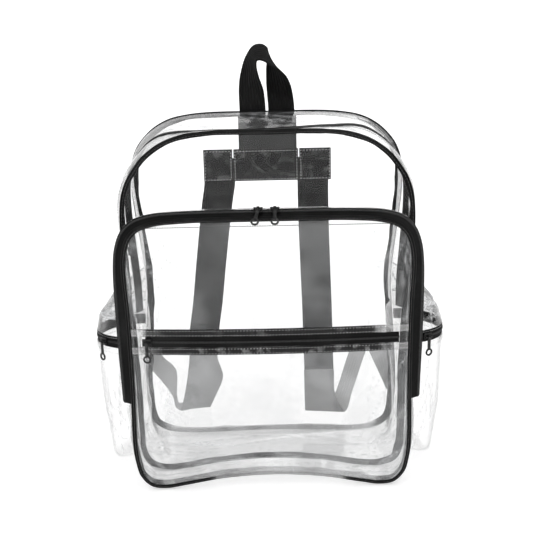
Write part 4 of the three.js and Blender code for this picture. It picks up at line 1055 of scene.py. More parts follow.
def pocket_walls():
    """The front pocket's walls, above and below the ends of its zip."""
    surface = pocket_surface(1.0)
    start = float(pocket_outline.share_at(POCKET_ZIP_END))
    upper, length = wall_places(pocket_outline, surface, start, 1 - start, POCKET_WALL_STEP)
    rows = crease_rows(81, 30, (0, length), (2, 28), 0, 10, 50, 1.3)
    rows += crease_rows(82, 10, (0, length), (2, 28), 70, 40, 12, 1.0)
    peak = POCKET_ZIP_PEAK - SEAM_GAP / POCKET_DEPTH
    wall_piece("pocket_wall_upper", surface, upper, np.linspace(0, peak, 14), "pocket_gusset_upper",
               "wall_sheet", rows, reach=2)
    surface = pocket_surface(0.3)
    start = float(pocket_outline.share_at(POCKET_ZIP_END - SEAM_GAP))
    lower, length = wall_places(pocket_outline, surface, 1 - start, 1 + start, POCKET_WALL_STEP)
    rows = crease_rows(91, 16, (0, length * 0.3), (2, 40), 0, 25, 40, 1.5)
    rows += crease_rows(92, 16, (length * 0.7, length), (2, 40), 0, 25, 40, 1.5)
    rows += crease_rows(93, 14, (length * 0.25, length * 0.75), (2, 40), 4, 10, 60, 1.1)
    wall_piece("pocket_wall_lower", surface, lower, np.linspace(0, 1, 18), "pocket_gusset_lower",
               "floor_sheet", rows, reach=2)


def pocket_sheet(label, low, high, seed, finish, by_seam, further_in):
    """One of the front pocket's panels, creased at its sides in two ranges of height."""
    sizes = bpy.context.scene.backpack_sizes
    grid = outline_patch(pocket_outline, SEAM_INSET, sizes.grid, low, high)
    rows = []
    for side in (-1, 1):
        band = sorted((side * 105, side * 150))
        rows += crease_rows(seed + side, 9, band, by_seam, 55 * side, 40, 22, 1.0)
        rows += crease_rows(seed + side + 5, 6, band, further_in, 90 - 12 * side, 14, 34, 0.9)
    if label == "lower":
        rows += crease_rows(seed + 9, 8, (-110, 110), (10, 60), 4, 9, 70, 0.8)
    push, fold = crease_field(rows, grid[..., 0], grid[..., 2])
    push = push * edge_fade(push.shape, 5) * sizes.crease
    grid[..., 1] = pocket_face_depth(grid[..., 0], grid[..., 2]) + push
    lofted(f"pocket_sheet_{label}", slab(grid, sizes.sheet / MM), finish, "clear_vinyl",
           f"pocket_{label}_panel", marks=two_faces(fold, fold))


def pocket_backing():
    """The clear sheet behind the front pocket's panels, with the stitched hem along its upper edge."""
    sizes = bpy.context.scene.backpack_sizes
    grid = outline_patch(pocket_outline, BINDING_WIDTH / 2, sizes.grid * 1.2, None, BACKING_UP)
    grid[..., 1] = POCKET_FRONT
    rows = crease_rows(131, 10, (-130, 130), (20, 290), 80, 30, 50, 0.7)
    push, _ = crease_field(rows, grid[..., 0], grid[..., 2])
    grid[..., 1] += np.abs(push) * edge_fade(push.shape, 5)
    lofted("pocket_backing_sheet", slab(grid, sizes.sheet / MM), "pocket_sheet", "clear_vinyl",
           "pocket_backing_panel")
    hem = grid[1:-1, -1] - np.array([0, 0.1, 0])
    foot = hem - np.array([0, 0, 2.2])
    lofted("pocket_backing_hem", ribbon_rings(foot, hem, 1.0, 0.5, 8), "end_sheet", "clear_vinyl")
    stitched("pocket_backing_stitches", [(foot + np.array([0, -0.7, 0.6]), (0, -1, 0))], 2.6,
             (2.1, 1.1, 0.6), "black_thread", "clear_vinyl")


def make_front_pocket():
    pocket_walls()
    beside_zip = FACING_WIDTH + SEAM_GAP / 2
    pocket_sheet("upper", LOWER_ZIP_HIGH + beside_zip, None, 111, "pocket_sheet", (240, 300), (190, 250))
    pocket_sheet("lower", None, LOWER_ZIP_LOW - beside_zip, 121, "low_pocket_sheet", (4, 60), (60, 160))
    pocket_backing()


def side_band(low, high):
    """Two rows of a side pocket's surface at full bulge, at those heights in millimetres."""
    return [(up / SIDE_HEIGHT, up / SIDE_HEIGHT, 1.0) for up in (low, high)]


def side_facing(label, side):
    """The clear strip under a side zip, with stitches along it and along the zip's upper edge."""
    name = f"side_{label}_facing"
    alongs = np.linspace(0.02, 0.98, 54)
    strip = side_surface(side_band(SIDE_ZIP_UP - SIDE_STRIP_WIDTH, SIDE_ZIP_UP - SEAM_GAP), side)
    grid = strip(*np.meshgrid(alongs, np.linspace(0, 1, 7), indexing="ij"))
    n = normals_of(grid, side)
    near = grid + n * 0.25
    far = near + n * (0.5 + 0.3 * np.sin(np.linspace(0, math.pi, 7)))[None, :, None]
    lofted(name, two_faces(far, near), "end_sheet", "zip_facing")
    lines = [(far[:, row] + n[:, row] * 0.2, n[:, row]) for row in (1, 5)]
    tape = side_surface(side_band(SIDE_ZIP_UP, SIDE_ZIP_UP + SIDE_ZIP_WIDTH), side)
    edge = tape(*np.meshgrid(alongs, np.array([0.86, 0.9]), indexing="ij"))
    out = normals_of(edge, side)[:, 0]
    lines.append((edge[:, 0] + out * 0.3, out))
    stitched(f"{name}_stitches", lines, 3.0, (1.7, 0.55, 0.5), "clear_thread", "zip_facing")


def make_side_pockets():
    sections = side_sections()
    alongs = np.linspace(0, 1, 54)
    along_range = (5, 150)
    for label, side in (("left", -1.0), ("right", 1.0)):
        body = smooth_sections(sections["body"])
        rows = crease_rows(151 + int(side), 12, along_range, (60, 190), 88, 14, 45, 1.6)
        rows += crease_rows(161 + int(side), 8, along_range, (50, 110), 60, 40, 24, 1.6)
        wall_piece(f"side_pocket_{label}_lower", side_surface(body, side), alongs,
                   np.linspace(0, len(body) - 1, 52), f"side_pocket_{label}_body", "side_sheet", rows, side)
        dome = smooth_sections(sections["dome"])
        rows = crease_rows(171 + int(side), 9, along_range, (6, 30), 0, 16, 40, 3.2)
        rows += crease_rows(181 + int(side), 9, along_range, (8, 50), 75, 35, 22, 2.6)
        wall_piece(f"side_pocket_{label}_upper", side_surface(dome, side), alongs,
                   np.linspace(0, len(dome) - 1, 44), f"side_pocket_{label}_dome", "dome_sheet", rows, side)
        side_facing(label, side)


def binding_section(width, deep, corner=1.3):
    """The round-cornered section of a folded tape: how far in and how deep each of its points is."""
    points = []
    for inset, y, start in ((width - corner, corner, 180), (width - corner, deep - corner, 90),
                            (corner, deep - corner, 0), (corner, corner, -90)):
        for step in range(4):
            angle = math.radians(start - 30 * step)
            points.append((inset - corner * math.cos(angle), y + corner * math.sin(angle)))
    return np.array(points)


def binding_rings(outline, from_y, to_y):
    """Rings of a folded tape round an outline, a little puffed between its stitches."""
    low, high = min(from_y, to_y), max(from_y, to_y)
    width, deep = BINDING_WIDTH, high - low
    section = binding_section(width, deep)
    rings = []
    for share in outline.evenly(0, 1, BINDING_STEP)[:-1]:
        puff = 1 + 0.06 * math.sin(share * 2 * math.pi * 23) * math.sin(share * 2 * math.pi * 7)
        inset = width / 2 + (section[:, 0] - width / 2) * puff
        y = deep / 2 + (section[:, 1] - deep / 2) * (2 - puff)
        rings.append(outline.inset(np.full(len(section), share), inset, low + y))
    return np.array(rings)


def round_loop(random, low, high, count, shares):
    """Random values from low to high, that many round a loop, read at shares of it."""
    return np.interp(shares, np.arange(count) / count, random.uniform(low, high, count), period=1)


def seam_band(name, outline, y, width, way, finish, seed):
    """The folded seam that lies against the inside of a panel, its free edge a little ragged and wavy.

    width gives, from the way out of the outline and the height, how far in it reaches.
    """
    random = np.random.default_rng(seed)
    shares = outline.evenly(0, 1, SEAM_STEP)[:-1]
    even = np.arange(len(shares)) / len(shares)
    spread = np.linspace(0, 1, 8)
    line, out = outline.at(shares), outline.out(shares)
    uneven = round_loop(random, 0.82, 1.06, 90, even)
    start = 0.6
    reach = (start + (width(out, line[:, 2]) - start) * uneven)[:, None] * spread[None]
    wavy = round_loop(random, 0.0, 1.6, 70, even)
    grid = line[:, None] - out[:, None] * (reach + start)[..., None]
    grid[..., 1] = y + way * wavy[:, None] * spread[None] ** 2
    lofted(name, slab(grid, 0.5 * way), finish, "binding", closed=True)


def back_seam_width(out, _):
    return 5.4 + 3.6 * np.abs(out[:, 0]) + 2.4 * np.clip(-out[:, 2], 0, 1)


def front_seam_width(out, height):
    behind_pocket = np.clip((POCKET_HEIGHT - height) / 30, 0, 1)
    return 5.4 + 3.4 * np.clip(out[:, 0], 0, 1) * behind_pocket


def pocket_seam_width(out, _):
    return 5.2 + 2.6 * np.clip(-out[:, 2], 0, 1)


def make_bindings():
    sizes = bpy.context.scene.backpack_sizes
    back_edge = BACK_PLANE + BINDING_PROUD
    back_fold = back_edge - BINDING_DEPTH
    front_edge = FRONT_PLANE - BINDING_PROUD / 2
    front_fold = front_edge + BINDING_DEPTH
    pocket_fold = POCKET_EDGE + BINDING_DEPTH
    seam_band("back_seam", back_outline, back_fold - 0.25, back_seam_width, -1, "back_seam", 301)
    seam_band("front_seam", front_outline, front_fold + 0.25, front_seam_width, 1, "binding", 302)
    seam_band("pocket_seam", pocket_outline, pocket_fold + 1.4, pocket_seam_width, 1, "pocket_seam", 303)
    trims = {
        "back": (back_outline, back_edge, back_fold, 1, "back_seam"),
        "front": (front_outline, front_edge, front_fold, -1, "binding"),
        "pocket": (pocket_outline, POCKET_EDGE, pocket_fold, -1, "pocket_trim"),
    }
    for label, (outline, face, fold, way, finish) in trims.items():
        name = f"{label}_trim"
        lofted(name, binding_rings(outline, face, fold), finish, "binding", f"{label}_binding",
               closed=True, sharp=60)
        line = outline.inset(outline.evenly(0, 1, SEAM_STEP), BINDING_WIDTH * 0.62, face + way * 0.02)
        stitched(f"{name}_stitches", [(line, (0, way, 0))], sizes.stitch / MM, (2.7, 0.55, 0.5),
                 "dark_thread", "binding")


# Places across a zip, and how far its outer face stands up at each: two tapes, each with a raised cord
ZIP_PLACES = (0, 0.06, 0.16, 0.26, 0.33, 0.37, 0.41, 0.46, 0.54, 0.59, 0.63, 0.67, 0.74, 0.84, 0.94, 1)
ZIP_LIFTS = (0, 0.1, 0.12, 0.12, 0.35, 0.6, 0.35, 0.15, 0.15, 0.35, 0.6, 0.35, 0.12, 0.12, 0.1, 0)
ZIP_DEPTH, COIL_TURN = 0.7, 78


def zip_parts(name, surface, alongs, low, high, node_name, way=1.0, coil_width=2.6):
    """A zip's two tapes with a raised cord beside the coil, and the coil's loops between them."""
    sizes = bpy.context.scene.backpack_sizes
    grid = surface(*np.meshgrid(alongs, low + (high - low) * np.array(ZIP_PLACES), indexing="ij"))
    n = normals_of(grid, way)
    outer = grid + n * (np.array(ZIP_LIFTS) * ZIP_RIDGE)[None, :, None]
    rings = two_faces(outer, grid - n * ZIP_DEPTH)
    lofted(f"{name}_tape", rings, "zip_tape", "zip_tape", node_name, sharp=70)
    fine = np.interp(np.linspace(0, 1, 4 * len(alongs)), np.linspace(0, 1, len(alongs)), alongs)
    lines = []
    for aside in (-0.022, 0.022):
        middle = (low + high) / 2 + aside * (high - low)
        pair = surface(*np.meshgrid(fine, [middle - 0.002, middle + 0.002], indexing="ij"))
        out = normals_of(pair, way)[:, 0]
        lines.append((pair.mean(1) + out * (ZIP_RIDGE * 0.55), out))
    item = bead_mesh("loop", coil_width, 1.0, 0.9, 0.15)
    item.transform(Matrix.Rotation(math.radians(COIL_TURN), 4, "Z"))
    coil = row_mesh(f"{name}_coil", lines, sizes.coil / MM, item, material("zip_coil"))
    piece(f"{name}_coil", coil, "zip_coil", "zip_tape")


def on_pocket(x, z, off=0.0):
    """Points on the front pocket's face, or that far in front of it."""
    x, z = np.broadcast_arrays(x, z)
    return np.stack([x, pocket_face_depth(x, z) - off, z], -1)


def make_zips():
    half = ZIP_WIDTH / (GUSSET_REAR - GUSSET_FRONT) / 2
    start = float(front_outline.share_at(MAIN_ZIP_END))
    alongs = front_outline.evenly(start, 1 - start, ZIP_STEP)
    zip_parts("main_zip", main_surface, alongs, 0.5 - half, 0.5 + half, "main_zip")
    start = float(pocket_outline.share_at(POCKET_ZIP_END))
    alongs = pocket_outline.evenly(start, 1 - start, ZIP_STEP)
    zip_parts("pocket_zip", pocket_surface(1.0), alongs, POCKET_ZIP_PEAK, 1.0, "pocket_zip")
    zip_parts("lower_zip", on_pocket, np.linspace(LOWER_ZIP_LEFT, LOWER_ZIP_RIGHT, 60),
              LOWER_ZIP_LOW + SEAM_GAP / 2, LOWER_ZIP_HIGH - SEAM_GAP / 2, "lower_pocket_zip", coil_width=2.2)
    for label, side in (("left", -1.0), ("right", 1.0)):
        surface = side_surface(side_sections()["zip"], side)
        zip_parts(f"side_{label}_zip", surface, np.linspace(0, 1, 48), 0, 1, f"side_zip_{label}", side, 2.2)


def facing_strip(label, low, high):
    """A stitched strip along the straight zip, over black tape. Gives its two lines of stitches."""
    ups = np.linspace(low, high, 9)
    x = np.linspace(-1, 1, 120)[:, None] * (pocket_outline.reach_at(ups) - SEAM_INSET)[None]
    z = np.broadcast_to(ups[None], x.shape)
    ridge = 0.35 * np.cos(np.linspace(-1, 1, 9) * math.pi * 1.5) ** 2
    wrinkle = 0.18 * np.sin(x / 3.1) * np.sin(z / 1.7 + x / 17)
    grid = on_pocket(x, z, 0.3 + ridge[None] + wrinkle)
    lofted(f"facing_{label}", slab(grid, 1.4), f"facing_{label}", "zip_facing", f"lower_zip_facing_{label}")
    lines = []
    for up in (low + 1.5, high - 1.5):
        reach = float(pocket_outline.reach_at(up)) - SEAM_INSET - 1.0
        lines.append((on_pocket(np.linspace(-reach, reach, 120), up, 0.75), (0, -1, 0)))
    return lines


def zip_end(label):
    """The clear patch between an end of the straight zip and the seam. Gives its lines of stitches."""
    ups = np.linspace(LOWER_ZIP_LOW + SEAM_GAP / 2, LOWER_ZIP_HIGH - SEAM_GAP / 2, 12)
    seam = pocket_outline.reach_at(ups) - SEAM_INSET
    if label == "left":
        first, last = -seam, np.full(12, LOWER_ZIP_LEFT - 0.3)
    else:
        first, last = np.full(12, LOWER_ZIP_RIGHT + 0.3), seam
    x = first[None] + (last - first)[None] * np.linspace(0, 1, 16)[:, None]
    grid = on_pocket(x, ups[None], 0.25 * np.abs(np.sin(x * 1.1)) * edge_fade(x.shape, 2))
    lofted(f"zip_end_{label}", slab(grid, 0.8), "end_sheet", "clear_vinyl", f"lower_zip_end_{label}")
    stitch_ups = np.linspace(LOWER_ZIP_LOW + 1, LOWER_ZIP_HIGH - 1, 12)
    lines = []
    for share in (0.16, 0.34, 0.62):
        across = float(first.mean() + (last.mean() - first.mean()) * share)
        lines.append((on_pocket(across, stitch_ups, 0.45), (0, -1, 0)))
    return lines


def make_facings():
    sizes = bpy.context.scene.backpack_sizes
    gap = SEAM_GAP / 2
    lines = facing_strip("upper", LOWER_ZIP_HIGH + gap, LOWER_ZIP_HIGH + FACING_WIDTH - gap)
    lines += facing_strip("lower", LOWER_ZIP_LOW - FACING_WIDTH + gap, LOWER_ZIP_LOW - gap)
    stitched("facing_stitches", lines, sizes.stitch / MM * 0.95, (1.4, 0.6, 0.4), "clear_thread",
             "zip_facing")
    lines = zip_end("left") + zip_end("right")
    stitched("zip_end_stitches", lines, 2.4, (1.9, 0.8, 0.5), "black_thread", "zip_facing")


def strap_edges(label):
    rows = np.array([(across * BODY_HALF_WIDTH, BEHIND_BAG + out * STRAP_BOW, up * BODY_HEIGHT)
                     for across, up, out in STRAP_ROWS[label]])
    middle = even_curve(round_curve(rows, 10, False), 90)
    half = np.array([STRAP_WIDTH / 2, 0, 0])
    return middle - half, middle + half


def edge_lines(rows, depths, count):
    """Two smooth edge lines from rows of shares, at those depths."""
    edges = []
    for first in (0, 2):
        points = np.array([(row[first] * BODY_HALF_WIDTH, depth, row[first + 1] * BODY_HEIGHT)
                           for row, depth in zip(rows, depths)])
        fine = round_curve(points, 10, False)
        edges.append(table_at(np.linspace(0, len(fine) - 1, count), np.arange(len(fine)), fine))
    return edges


def ribbon_push(edge_a, edge_b, columns, rows):
    """How far creases in a ribbon's own length and width push it out, fading at its edges."""
    run = lengths((edge_a + edge_b) / 2)[:, None]
    width = np.linalg.norm(edge_b - edge_a, axis=1)[:, None]
    share = eased(columns)[None]
    push, _ = crease_field(rows, run + 0 * share, width * share)
    return np.abs(push * edge_fade(push.shape, 5))


def stitch_lines(edge_a, edge_b, shares, off, way):
    """Stitch lines along a ribbon at shares across it, off by that much along its way out."""
    lines = []
    for share in shares:
        line = edge_a + (edge_b - edge_a) * share
        lines.append((line + np.array([0, off * way, 0]), (0, way, 0)))
    return lines


def strap_tail(label, depth):
    """The single-layer end of a strap."""
    rows = STRAP_END_ROWS[label]
    rings = ribbon_rings(*edge_lines(rows, [depth] * len(rows), 60), WEBBING_THICKNESS * 0.8, columns=14)
    lofted(f"strap_tail_{label}", rings, "strap_end", "strap_fabric", f"strap_end_{label}", sharp=70)


def strap_webbing(label, hang):
    """The webbing that leads from a strap's end to the side of the bag, from hang behind the bag."""
    rows = WEBBING_ROWS[label]
    depths = [BEHIND_BAG + row[4] * hang for row in rows]
    rings = ribbon_rings(*edge_lines(rows, depths, 110), WEBBING_THICKNESS)
    lofted(f"webbing_{label}", rings, "webbing", "strap_fabric", f"strap_webbing_{label}", sharp=70)


def make_straps():
    sizes = bpy.context.scene.backpack_sizes
    for label in ("left", "right"):
        a, b = strap_edges(label)
        length = lengths((a + b) / 2)[-1]
        rows = crease_rows(211 + len(label), 46, (40, length - 20), (0, STRAP_WIDTH), 82, 28, 12, 0.9)
        rings = ribbon_rings(a, b, STRAP_THICKNESS, columns=16, push=ribbon_push(a, b, 16, rows), hem=0.15)
        lofted(f"strap_{label}", rings, "strap_cloth", "strap_fabric", f"shoulder_strap_{label}", sharp=70)

        hang = STRAP_ROWS[label][-1][2] * STRAP_BOW
        strap_tail(label, BEHIND_BAG + hang - SEAM_GAP - WEBBING_THICKNESS)
        strap_webbing(label, hang)
        a, b, shares = a[6:-2], b[6:-2], (0.06, 0.94)
        lines = stitch_lines(a, b, shares, STRAP_THICKNESS + 0.1, 1) + stitch_lines(a, b, shares, 0.1, -1)
        stitched(f"strap_{label}_stitches", lines, sizes.stitch / MM, (2.6, 0.6, 0.5), "dark_thread",
                 "strap_fabric")


def plate_rings(left, right, bottom, top, near, thickness, rumple):
    """A sewn patch standing in the XZ plane, a little rumpled."""
    count = max(6, int((top - bottom) / 1.6))
    ups = np.linspace(bottom, top, count)
    columns = max(8, int((right - left) / 2.2))
    a = np.stack([np.full(count, left), np.full(count, near), ups], -1)
    b = np.stack([np.full(count, right), np.full(count, near), ups], -1)
    x = left + (right - left) * eased(columns)[None]
    push = rumple * np.sin(x / 2.9 + np.sin(ups[:, None] / 5.0)) * np.sin(ups[:, None] / 2.3)
    return ribbon_rings(a, b, thickness, columns=columns, push=push * edge_fade(push.shape, 2))


def frame_line(left, right, bottom, top, y):
    """A line round a patch just inside its edges."""
    corners = [(left, bottom), (right, bottom), (right, top), (left, top), (left, bottom)]
    return even_curve(np.array([(x, y, z) for x, z in corners], float), 160)


def straps_patch(inner):
    """The dark coated patches over the straps' tops, with slits between them."""
    outer = BEHIND_BAG + STRAP_THICKNESS + SEAM_GAP
    left, right = YOKE_MIDDLE - YOKE_WIDTH / 2, YOKE_MIDDLE + YOKE_WIDTH / 2
    bottom, top = YOKE_TOP - YOKE_HEIGHT, YOKE_TOP
    meshes, lines = [], []
    parts = ((left, left + SLIT_FROM_LEFT[0]), (left + SLIT_FROM_LEFT[1], right - SLIT_FROM_RIGHT[0]),
             (right - SLIT_FROM_RIGHT[1], right))
    for first, last in parts:
        for near, deep, rumple in ((outer, PATCH_THICKNESS, 0.22), (inner, INNER_PATCH_THICKNESS, 0.1)):
            meshes.append(loft("yoke_part", plate_rings(first, last, bottom, top, near, deep, rumple)))
        for face, way in ((inner - 0.15, -1), (outer + PATCH_THICKNESS + 0.1, 1)):
            lines.append((frame_line(first + 1.6, last - 1.6, bottom + 1.8, top - 1.8, face), (0, way, 0)))
    piece("yoke", joined("yoke", meshes), "yoke_cloth", "zip_facing", "yoke_patch")
    stitched("yoke_stitches", lines, 3.6, (1.8, 1.1, 0.7), "clear_thread", "zip_facing")


def make_yoke():
    """The patches over the straps' tops, and the handle's own patch."""
    inner = BEHIND_BAG - INNER_PATCH_SET
    straps_patch(inner)
    outer = BEHIND_BAG + WEBBING_THICKNESS + SEAM_GAP
    left, right = HANDLE_MIDDLE - PATCH_WIDTH / 2, HANDLE_MIDDLE + PATCH_WIDTH / 2
    meshes = [loft("backing_part", plate_rings(left, right, YOKE_TOP + SEAM_GAP, PATCH_TOP, near, deep, 0.12))
              for near, deep in ((outer, PATCH_THICKNESS), (inner, INNER_PATCH_THICKNESS))]
    piece("handle_backing", joined("handle_backing", meshes), "patch_cloth", "strap_fabric", "handle_patch")
    line = frame_line(left + 2, right - 2, YOKE_TOP + 2.5, PATCH_TOP - 2, outer + PATCH_THICKNESS + 0.05)
    stitched("handle_stitches", [(line, (0, 1, 0))], 3.0, (2.2, 0.6, 0.5), "dark_thread", "strap_fabric")


def make_handle():
    foot = BEHIND_BAG + WEBBING_THICKNESS / 2
    points = np.array([(HANDLE_MIDDLE + along * HANDLE_SPREAD, foot, BODY_HEIGHT + up * HANDLE_RISE)
                       for along, up, _, _ in HANDLE_ROWS])
    steps = 12
    fine = round_curve(points, steps, False)
    places = np.arange(len(fine)) / steps
    turns, leans = np.radians(table_at(places, np.arange(len(HANDLE_ROWS)), np.array(HANDLE_ROWS)[:, 2:])).T
    half = np.stack([np.cos(turns), np.sin(turns) * np.cos(leans), np.sin(turns) * np.sin(leans)], -1)
    half *= HANDLE_WIDTH / 2
    rings = ribbon_rings(fine - half, fine + half, WEBBING_THICKNESS, 0.5, 18, hem=0.12)
    lofted("carry_handle", rings, "handle_webbing", "handle_webbing", "grab_handle", sharp=70)


PULL_BODIES = {
    "pocket_zip_left_pull": "pocket_pull_left", "pocket_zip_right_pull": "pocket_pull_right",
    "lower_zip_pull": "lower_pull", "side_zip_left_pull": "side_pull_left",
    "side_zip_right_pull": "side_pull_right",
}
TAB_ROUNDING, SLIDER_ROUNDING = 0.00025, 0.0006


def rounded_copy(name, node_name, width, body):
    """A CAD node's shape with its edges rounded over."""
    build = bmesh.new()
    build.from_mesh(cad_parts[node_name].data)
    bmesh.ops.remove_doubles(build, verts=build.verts, dist=1e-6)
    bmesh.ops.dissolve_limit(build, angle_limit=math.radians(1), verts=build.verts, edges=build.edges)
    mesh = bpy.data.meshes.new(name)
    build.to_mesh(mesh)
    build.free()
    obj = new_object(name, mesh, material("zip_metal"))
    bevel = obj.modifiers.new("Bevel", "BEVEL")
    bevel.width = width
    bevel.segments = 2
    bevel.limit_method = "ANGLE"
    bevel.angle_limit = math.radians(40)
    made = plain_mesh(obj, name)
    obj.modifiers.clear()
    obj.data = made
    made.shade_smooth()
    made.set_sharp_from_angle(angle=math.radians(45))
    return fit(obj, "zip_metal", body, node_name)


def make_sliders():
    for node_name in sorted(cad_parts):
        if node_name.endswith("_pull"):
            rounded_copy(node_name.replace("_pull", "_tab"), node_name, TAB_ROUNDING, PULL_BODIES[node_name])
        elif "slider" in node_name:
            rounded_copy(node_name.replace("slider", "runner"), node_name, SLIDER_ROUNDING, "bag")


# Stage

CAMERA_AT = (0.0, -1.21635, 0.60671)
CAMERA_PITCH, CAMERA_ROLL = 17.0, 1.2
CAMERA_LENS, CAMERA_SHIFT = 76.12, -0.00375
LIGHTS_AIM = (0, 0, 0.22)
WHITE = (1, 1, 1, 1)


def make_camera(scene):
    camera = bpy.data.cameras.new("photo_camera")
    camera.lens = CAMERA_LENS
    camera.sensor_width = 36.0
    camera.shift_x = CAMERA_SHIFT
    camera.clip_end = 50.0
    view = bpy.data.objects.new("photo_camera", camera)
    view.location = CAMERA_AT
    turn = Euler((math.radians(90 - CAMERA_PITCH), 0, 0)).to_matrix()
    roll = Matrix.Rotation(math.radians(-CAMERA_ROLL), 3, "Z")
    view.rotation_euler = (turn @ roll).to_euler()
    scene.collection.objects.link(view)
    scene.camera = view


def make_floor():
    """A white floor that glows a little more the further away it is, to meet the white behind it."""
    bpy.ops.mesh.primitive_plane_add(size=60.0, location=(0, 0, -0.0004))
    floor = bpy.context.object
    floor.name = "floor"
    paper, tree = new_material("white_floor")
    grain = colour_mix(tree, noise(tree, 3.0, 3.0), (0.9, 0.9, 0.9), (0.93, 0.93, 0.93))
    place = node(tree, "ShaderNodeTexCoord").outputs["Object"]
    away = node(tree, "ShaderNodeVectorMath", {0: place}, operation="LENGTH").outputs["Value"]
    sheet = node(tree, "ShaderNodeBsdfPrincipled", {
        "Base Color": grain, "Roughness": 0.7, "Emission Color": WHITE,
        "Emission Strength": ranged(tree, away, 0.5, 2.5, 0.5, 0.8)}).outputs[0]
    finish_with(tree, sheet)
    floor.data.materials.append(paper)


def make_lights(scene, key):
    """Four soft lights, each by its name, place, size and power."""
    lights = (
        ("key_light", (-0.9, -1.1, 1.5), 1.0, key),
        ("fill_light", (1.3, -0.9, 0.9), 0.7, key * 0.45),
        ("top_light", (0.1, 0.2, 1.9), 1.2, key * 0.8),
        ("rear_light", (0.4, 1.6, 1.1), 1.0, key * 0.5),
    )
    for name, place, size, power in lights:
        data = bpy.data.lights.new(name, "AREA")
        data.size = size
        data.energy = power
        lamp = bpy.data.objects.new(name, data)
        lamp.location = place
        aim = Vector(LIGHTS_AIM) - Vector(place)
        lamp.rotation_euler = aim.to_track_quat("-Z", "Y").to_euler()
        scene.collection.objects.link(lamp)


def make_surroundings(scene, sky):
    """A studio that is dark to the sides and bright behind, but plain white to the camera."""
    world = bpy.data.worlds.new("studio")
    world.use_nodes = True
    scene.world = world
    tree = world.node_tree
    tree.nodes.clear()
    parts = split(tree, "Generated")
    sideways = ranged(tree, maths(tree, "ABSOLUTE", parts[0]), 0.62, 0.86, 1.0, 0.14)
    behind = ranged(tree, parts[1], 0.3, 0.8, 1.0, 1.9)
    shade = maths(tree, "MULTIPLY", sideways, behind)
    surround = node(tree, "ShaderNodeBackground", {
        "Color": WHITE, "Strength": maths(tree, "MULTIPLY", shade, sky)}).outputs[0]
    backdrop = node(tree, "ShaderNodeBackground", {"Color": WHITE, "Strength": 1.0}).outputs[0]
    seen = node(tree, "ShaderNodeLightPath").outputs["Is Camera Ray"]
    node(tree, "ShaderNodeOutputWorld", {"Surface": mixed(tree, seen, surround, backdrop)})


def make_stage():
    scene = bpy.context.scene
    settings = scene.backpack_stage
    scene.view_settings.view_transform = "Standard"
    scene.cycles.transparent_max_bounces = 40
    make_camera(scene)
    make_floor()
    make_lights(scene, settings.key)
    make_surroundings(scene, settings.sky)


# Operators, panel and registration

class BACKPACK_OT_stage(bpy.types.Operator):
    """Make the floor, the lights and the camera"""

    bl_idname = "backpack.stage"
    bl_label = "Stage"
    bl_options = {"REGISTER", "UNDO"}

    def execute(self, context):
        make_stage()
        return {"FINISHED"}


class BACKPACK_OT_main_compartment(bpy.types.Operator):
    """Make the main panels and walls"""

    bl_idname = "backpack.main_compartment"
    bl_label = "Main compartment"
    bl_options = {"REGISTER", "UNDO"}

    def execute(self, context):
        make_main_compartment()
        return {"FINISHED"}


class BACKPACK_OT_front_pocket(bpy.types.Operator):
    """Make the front pocket's sheets and walls"""

    bl_idname = "backpack.front_pocket"
    bl_label = "Front pocket"
    bl_options = {"REGISTER", "UNDO"}

    def execute(self, context):
        make_front_pocket()
        return {"FINISHED"}


class BACKPACK_OT_side_pockets(bpy.types.Operator):
    """Make both side pockets"""

    bl_idname = "backpack.side_pockets"
    bl_label = "Side pockets"
    bl_options = {"REGISTER", "UNDO"}

    def execute(self, context):
        make_side_pockets()
        return {"FINISHED"}


class BACKPACK_OT_bindings(bpy.types.Operator):
    """Make the three bindings and their stitches"""

    bl_idname = "backpack.bindings"
    bl_label = "Bindings"
    bl_options = {"REGISTER", "UNDO"}

    def execute(self, context):
        make_bindings()
        return {"FINISHED"}


class BACKPACK_OT_zips(bpy.types.Operator):
    """Make the tapes and coils of all five zips"""

    bl_idname = "backpack.zips"
    bl_label = "Zips"
    bl_options = {"REGISTER", "UNDO"}

    def execute(self, context):
        make_zips()
        return {"FINISHED"}


class BACKPACK_OT_facings(bpy.types.Operator):
    """Make the stitched strips round the straight zip"""

    bl_idname = "backpack.facings"
    bl_label = "Zip facings"
    bl_options = {"REGISTER", "UNDO"}

    def execute(self, context):
        make_facings()
        return {"FINISHED"}


class BACKPACK_OT_straps(bpy.types.Operator):
    """Make the shoulder straps, their ends and webbing"""

    bl_idname = "backpack.straps"
    bl_label = "Straps"
    bl_options = {"REGISTER", "UNDO"}

    def execute(self, context):
        make_straps()
        return {"FINISHED"}


class BACKPACK_OT_yoke(bpy.types.Operator):
    """Make the sewn patches that hold the straps and handle"""

    bl_idname = "backpack.yoke"
    bl_label = "Yoke"
    bl_options = {"REGISTER", "UNDO"}

    def execute(self, context):
        make_yoke()
        return {"FINISHED"}


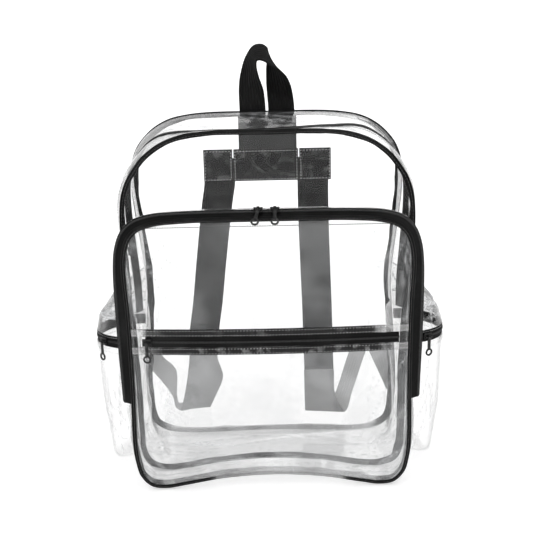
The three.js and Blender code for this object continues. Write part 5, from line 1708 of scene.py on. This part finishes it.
class BACKPACK_OT_handle(bpy.types.Operator):
    """Make the twisted grab handle"""

    bl_idname = "backpack.handle"
    bl_label = "Grab handle"
    bl_options = {"REGISTER", "UNDO"}

    def execute(self, context):
        make_handle()
        return {"FINISHED"}


class BACKPACK_OT_sliders(bpy.types.Operator):
    """Make the zip sliders and their pull tabs"""

    bl_idname = "backpack.sliders"
    bl_label = "Sliders"
    bl_options = {"REGISTER", "UNDO"}

    def execute(self, context):
        make_sliders()
        return {"FINISHED"}


OPERATORS = [
    BACKPACK_OT_stage, BACKPACK_OT_main_compartment, BACKPACK_OT_front_pocket,
    BACKPACK_OT_side_pockets, BACKPACK_OT_bindings, BACKPACK_OT_zips,
    BACKPACK_OT_facings, BACKPACK_OT_straps, BACKPACK_OT_yoke,
    BACKPACK_OT_handle, BACKPACK_OT_sliders,
]


class BACKPACK_PT_panel(bpy.types.Panel):
    """Lists the backpack's pieces, sizes and colours"""

    bl_label = "Clear Stadium Backpack"
    bl_idname = "BACKPACK_PT_panel"
    bl_space_type = "VIEW_3D"
    bl_region_type = "UI"
    bl_category = "Backpack"

    def draw(self, context):
        for key in GROUPS:
            group = getattr(context.scene, key)
            box = self.layout.box()
            for setting in group.__annotations__:
                box.prop(group, setting)
        column = self.layout.column()
        for operator in OPERATORS:
            column.operator(operator.bl_idname)


GROUPS = {
    "backpack_sizes": BackpackSizes,
    "backpack_colours": BackpackColours,
    "backpack_stage": BackpackStage,
}


def register():
    for item in [*GROUPS.values(), *OPERATORS, BACKPACK_PT_panel]:
        bpy.utils.register_class(item)
    for key, group in GROUPS.items():
        setattr(bpy.types.Scene, key, PointerProperty(type=group))


def unregister():
    for key in GROUPS:
        delattr(bpy.types.Scene, key)
    for item in reversed([*GROUPS.values(), *OPERATORS, BACKPACK_PT_panel]):
        bpy.utils.unregister_class(item)


def main():
    register()
    for operator in OPERATORS:
        name = operator.bl_idname.split(".")[1]
        getattr(bpy.ops.backpack, name)()


if __name__ == "__main__":
    main()
